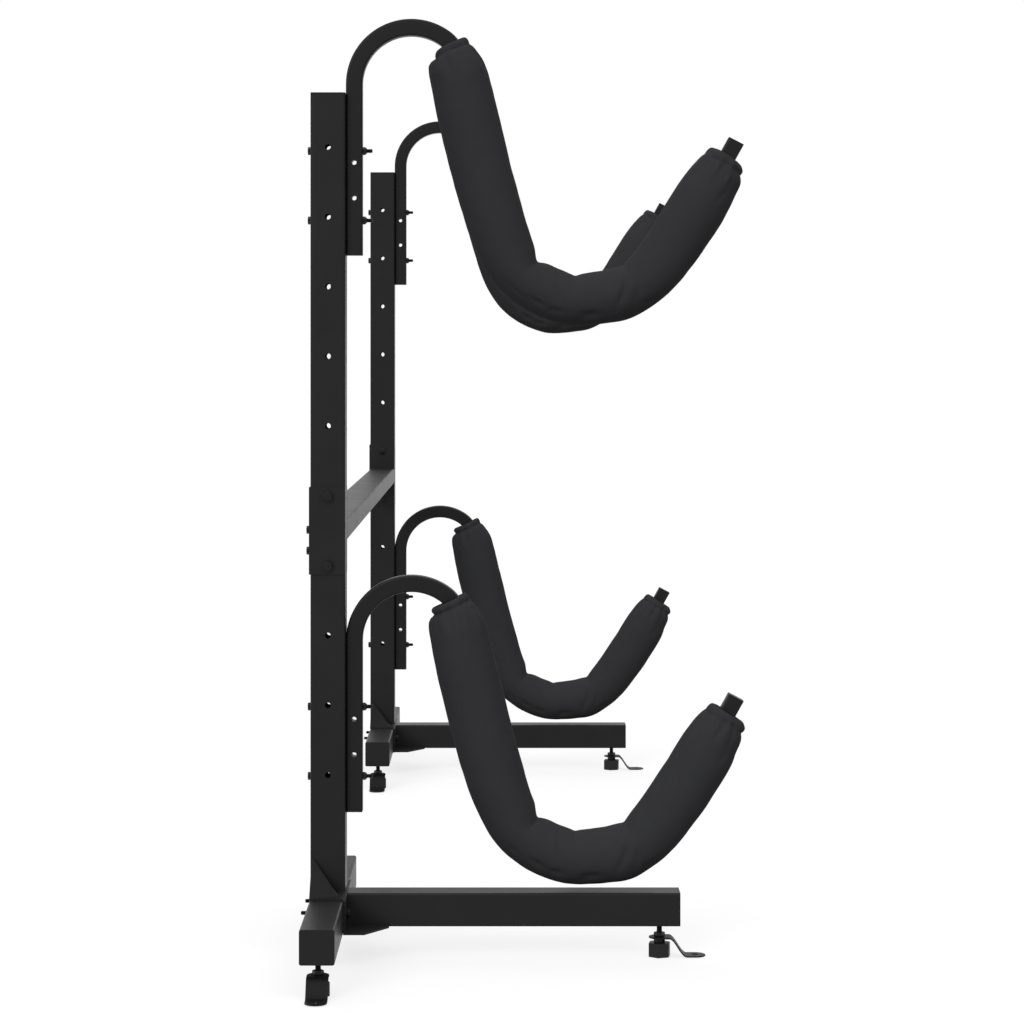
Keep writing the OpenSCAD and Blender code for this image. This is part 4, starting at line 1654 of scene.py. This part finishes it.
@dataclass
class LevellingFoot:
    """A hexagonal foot on a threaded stem, with its bent anchor tab."""

    shop: Workshop
    side: str
    spot: str
    stem: float = 0.008
    nut_across_flats: float = 0.014
    collar: float = 0.0065
    jam_nut: float = 0.006
    foot_rounding: float = 0.0016
    foot_turn: float = 20.0
    tab_width: float = 0.0305
    tab_thickness: float = 0.002
    peg_reach: float = 0.051
    tab_play: float = 0.0003
    peg_hole: float = 0.0085
    slope: tuple[float, float] = (0.0145, 0.0395)
    tab_rounding: float = 0.0005

    def build(self) -> None:
        """Builds the foot, its stem and its tab."""
        name = f"{self.side}_{self.spot}"
        leveller, anchor = f"{name}_leveller", f"{name}_anchor"
        low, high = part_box(f"{name}_foot")
        axis = Vector(((low.x + high.x) / 2, (low.y + high.y) / 2, 0))
        foot = self.shop.softened(
            f"{name}_foot", f"{name}_pad", Slot.FOOT, leveller, self.foot_rounding
        )
        turned = Matrix.Rotation(math.radians(self.foot_turn), 4, "Z")
        foot.data.transform(Matrix.Translation(axis) @ turned @ Matrix.Translation(-axis))
        tab_low, tab_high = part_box(f"{name}_tab")
        self._stem(name, leveller, axis, high.z, tab_high.z)
        self._tab(name, anchor, axis, tab_low, tab_high)

    def _stem(self, name: str, body: str, axis: Vector, foot_top: float, tab_top: float) -> None:
        """Makes the threaded stem with its collar and jam nut.

        Args:
            name: Name of the foot.
            body: The body that it moves with.
            axis: A point on the stem's axis, on the floor.
            foot_top: Height of the foot.
            tab_top: Height of the top of the tab.
        """
        low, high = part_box(f"{name}_stem")
        thread = Fastener(self.stem, self.nut_across_flats, 0, self.jam_nut, 0, pitch=0.00125)
        bm = bmesh.new()
        for start, height in ((foot_top, self.collar), (tab_top + self.tab_play, self.jam_nut)):
            place = Matrix.Translation(axis + Vector((0, 0, start)))
            add_prism(bm, place, thread.hex_radius, height, 6, thread.chamfer)
        thread.add_thread(bm, Matrix.Translation(axis + Vector((0, 0, low.z))), high.z - low.z)
        obj = self.shop.piece(f"{name}_screw", bm, Slot.BOLT, body, (f"{name}_stem",))
        Workshop.even_shading(obj)

    def _tab(self, name: str, body: str, axis: Vector, low: Vector, high: Vector) -> None:
        """Bends the anchor tab out of a flat strap with round ends.

        Args:
            name: Name of the foot.
            body: The body that it moves with.
            axis: A point on the stem's axis, on the floor.
            low: Lowest corner of the tab.
            high: Highest corner of the tab.
        """
        radius = self.tab_width / 2
        far = self.peg_reach
        bm = bmesh.new()
        bmesh.ops.create_circle(bm, segments=48, radius=radius)
        ahead = [vert for vert in bm.verts if vert.co.x > 1e-6]
        bmesh.ops.translate(bm, verts=ahead, vec=(far, 0, 0))
        for x, diameter in ((0.0, self.stem + 2 * self.tab_play), (far, self.peg_hole)):
            hole = Matrix.Translation((x, 0, 0))
            bmesh.ops.create_circle(bm, segments=24, radius=diameter / 2, matrix=hole)
        bmesh.ops.triangle_fill(bm, edges=bm.edges[:], use_beauty=True)
        first, last = self.slope
        cuts = 14
        for index in range(cuts + 1):
            x = first + (last - first) * index / cuts
            bmesh.ops.bisect_plane(
                bm, geom=bm.verts[:] + bm.edges[:] + bm.faces[:], plane_co=(x, 0, 0),
                plane_no=(1, 0, 0),
            )
        bmesh.ops.dissolve_limit(
            bm, angle_limit=0.001, verts=[], edges=self._spare_edges(bm, first, last)
        )
        top, bottom = high.z, low.z + self.tab_thickness
        for vert in bm.verts:
            share = max(0.0, min(1.0, (vert.co.x - first) / (last - first)))
            vert.co.z = top + (bottom - top) * share * share * (3 - 2 * share)
        bmesh.ops.recalc_face_normals(bm, faces=bm.faces)
        if sum(face.normal.z for face in bm.faces) < 0:
            bmesh.ops.reverse_faces(bm, faces=bm.faces)
        away = high.y - axis.y if self.spot == "front" else high.x - axis.x
        if self.spot == "front":
            turn = 90
        else:
            turn = 0 if away > radius * 1.5 else 180
        place = Matrix.Translation(axis) @ Matrix.Rotation(math.radians(turn), 4, "Z")
        bmesh.ops.transform(bm, matrix=place, verts=bm.verts)
        obj = self.shop.piece(f"{name}_strap", bm, Slot.TAB, body, (f"{name}_tab",))
        wall = obj.modifiers.new("wall", "SOLIDIFY")
        wall.thickness, wall.offset = self.tab_thickness, -1.0
        edge = obj.modifiers.new("edges", "BEVEL")
        edge.width, edge.segments, edge.limit_method = self.tab_rounding, 2, "ANGLE"
        edge.angle_limit = math.radians(50)
        Workshop.even_shading(obj)

    @staticmethod
    def _spare_edges(
        bm: bmesh.types.BMesh, first: float, last: float
    ) -> list[bmesh.types.BMEdge]:
        """Finds the slanting edges between the cuts of the bend.

        Args:
            bm: The flat strap.
            first: Start of the bend.
            last: End of the bend.

        Returns:
            The edges that the bend doesn't need.
        """
        return [
            edge
            for edge in bm.edges
            if len(edge.link_faces) == 2
            and all(first - 1e-6 <= vert.co.x <= last + 1e-6 for vert in edge.verts)
            and abs(edge.verts[0].co.x - edge.verts[1].co.x) > 1e-5
        ]


# Studio ------------------------------------------------------------------------------------


@dataclass(frozen=True)
class Studio:
    """The photograph's camera, soft light and a white floor."""

    camera_x: float = 5.071
    camera_depth: float = 0.2773
    camera_height: float = 0.8722
    lens: float = 101.2
    shift: tuple[float, float] = (0.0078, -0.1577)
    ambient: float = 0.42
    suns: tuple[tuple[float, float, float, float], ...] = (
        (62.0, 24.0, 1.3, 30.0),
        (118.0, 48.0, 0.8, 40.0),
        (-60.0, 55.0, 0.5, 50.0),
    )
    floor_half: float = 40.0
    floor_colour: float = 0.3
    floor_glow: float = 0.76

    def build(self) -> None:
        """Sets up the camera, the world, the lamps and the floor."""
        bpy.context.scene.view_settings.view_transform = "Standard"
        self._camera()
        self._world()
        for azimuth, elevation, strength, angle in self.suns:
            self._sun(azimuth, elevation, strength, angle)
        self._floor()

    def _camera(self) -> None:
        """Places the camera, whose depth is measured from the back of the posts."""
        data = bpy.data.cameras.new("camera")
        data.lens = self.lens
        data.shift_x, data.shift_y = self.shift
        data.clip_end = 200.0
        camera = bpy.data.objects.new("camera", data)
        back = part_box("right_post")[0].y
        camera.location = (self.camera_x, back + self.camera_depth, self.camera_height)
        camera.rotation_euler = (math.radians(90), 0, math.radians(90))
        bpy.context.scene.collection.objects.link(camera)
        bpy.context.scene.camera = camera

    @staticmethod
    def _seen(graph: NodeGraph) -> bpy.types.NodeSocket:
        """Mask of the rays that show the background: camera, glossy and transmission rays."""
        path = graph.add("ShaderNodeLightPath")
        seen = graph.math("MAXIMUM", path.outputs["Is Camera Ray"], path.outputs["Is Glossy Ray"])
        return graph.math("MAXIMUM", seen, path.outputs["Is Transmission Ray"])

    def _world(self) -> None:
        """White where it shows, and dimmer where it only lights."""
        world = bpy.data.worlds.new("studio")
        bpy.context.scene.world = world
        world.use_nodes = True
        graph = NodeGraph(world.node_tree)
        background = world.node_tree.nodes["Background"]
        grey = (self.ambient,) * 3
        colour = graph.mix(self._seen(graph), grey, (1.0, 1.0, 1.0))
        graph.link(colour, background.inputs["Color"])
        background.inputs["Strength"].default_value = 1.0

    @staticmethod
    def _sun(azimuth: float, elevation: float, strength: float, angle: float) -> None:
        """Adds a soft sun.

        Args:
            azimuth: Where it stands, 0 at -Y and 90 at +X.
            elevation: Its height above the horizon.
            strength: Its strength.
            angle: Its width.
        """
        data = bpy.data.lights.new("sun", "SUN")
        data.energy, data.angle = strength, math.radians(angle)
        data.specular_factor = 0.3
        sun = bpy.data.objects.new("sun", data)
        a, e = math.radians(azimuth), math.radians(elevation)
        towards = Vector((math.sin(a) * math.cos(e), -math.cos(a) * math.cos(e), math.sin(e)))
        sun.rotation_euler = towards.to_track_quat("Z", "Y").to_euler()
        bpy.context.scene.collection.objects.link(sun)

    def _floor(self) -> None:
        """Makes the white floor, which keeps a faint shadow."""
        bm = bmesh.new()
        bmesh.ops.create_grid(bm, x_segments=1, y_segments=1, size=self.floor_half)
        mesh = bpy.data.meshes.new("floor")
        bm.to_mesh(mesh)
        bm.free()
        floor = bpy.data.objects.new("floor", mesh)
        bpy.context.scene.collection.objects.link(floor)
        floor.location.z = -0.0005
        material = bpy.data.materials.new("floor")
        material.use_nodes = True
        graph = NodeGraph(material.node_tree)
        material.node_tree.nodes.remove(material.node_tree.nodes["Principled BSDF"])
        paint = graph.add("ShaderNodeBsdfDiffuse")
        paint.inputs["Color"].default_value = (*(self.floor_colour,) * 3, 1.0)
        glow = graph.add("ShaderNodeEmission")
        graph.link(graph.math("MULTIPLY", self._seen(graph), self.floor_glow), glow.inputs["Strength"])
        both = graph.add("ShaderNodeAddShader")
        graph.link(paint.outputs[0], both.inputs[0])
        graph.link(glow.outputs[0], both.inputs[1])
        graph.link(both.outputs[0], material.node_tree.nodes["Material Output"].inputs["Surface"])
        mesh.materials.append(material)


def dress_inner_parts(shop: Workshop) -> None:
    """Gives the parts inside the tubes their finish."""
    for side in SIDES:
        data = shop.frame["nodes"][f"{side}_foot_nuts"].data
        data.materials.clear()
        data.materials.append(shop.materials[Slot.BOLT])


def main() -> None:
    """Builds the whole rack around its frame."""
    logging.basicConfig(level=logging.INFO, format="%(name)s: %(message)s")
    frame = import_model()
    Studio().build()
    groups = ShaderGroups()
    finishes = (*FINISHES, CoverFabric())
    materials = {finish.slot: finish.material(groups) for finish in finishes}
    shop = Workshop(materials, frame)
    for side in SIDES:
        UprightFrame(shop, side).build()
        for spot in FOOT_SPOTS:
            LevellingFoot(shop, side, spot).build()
    Crossbar(shop).build()
    ArmSet(shop).build()
    dress_inner_parts(shop)


if __name__ == "__main__":
    main()
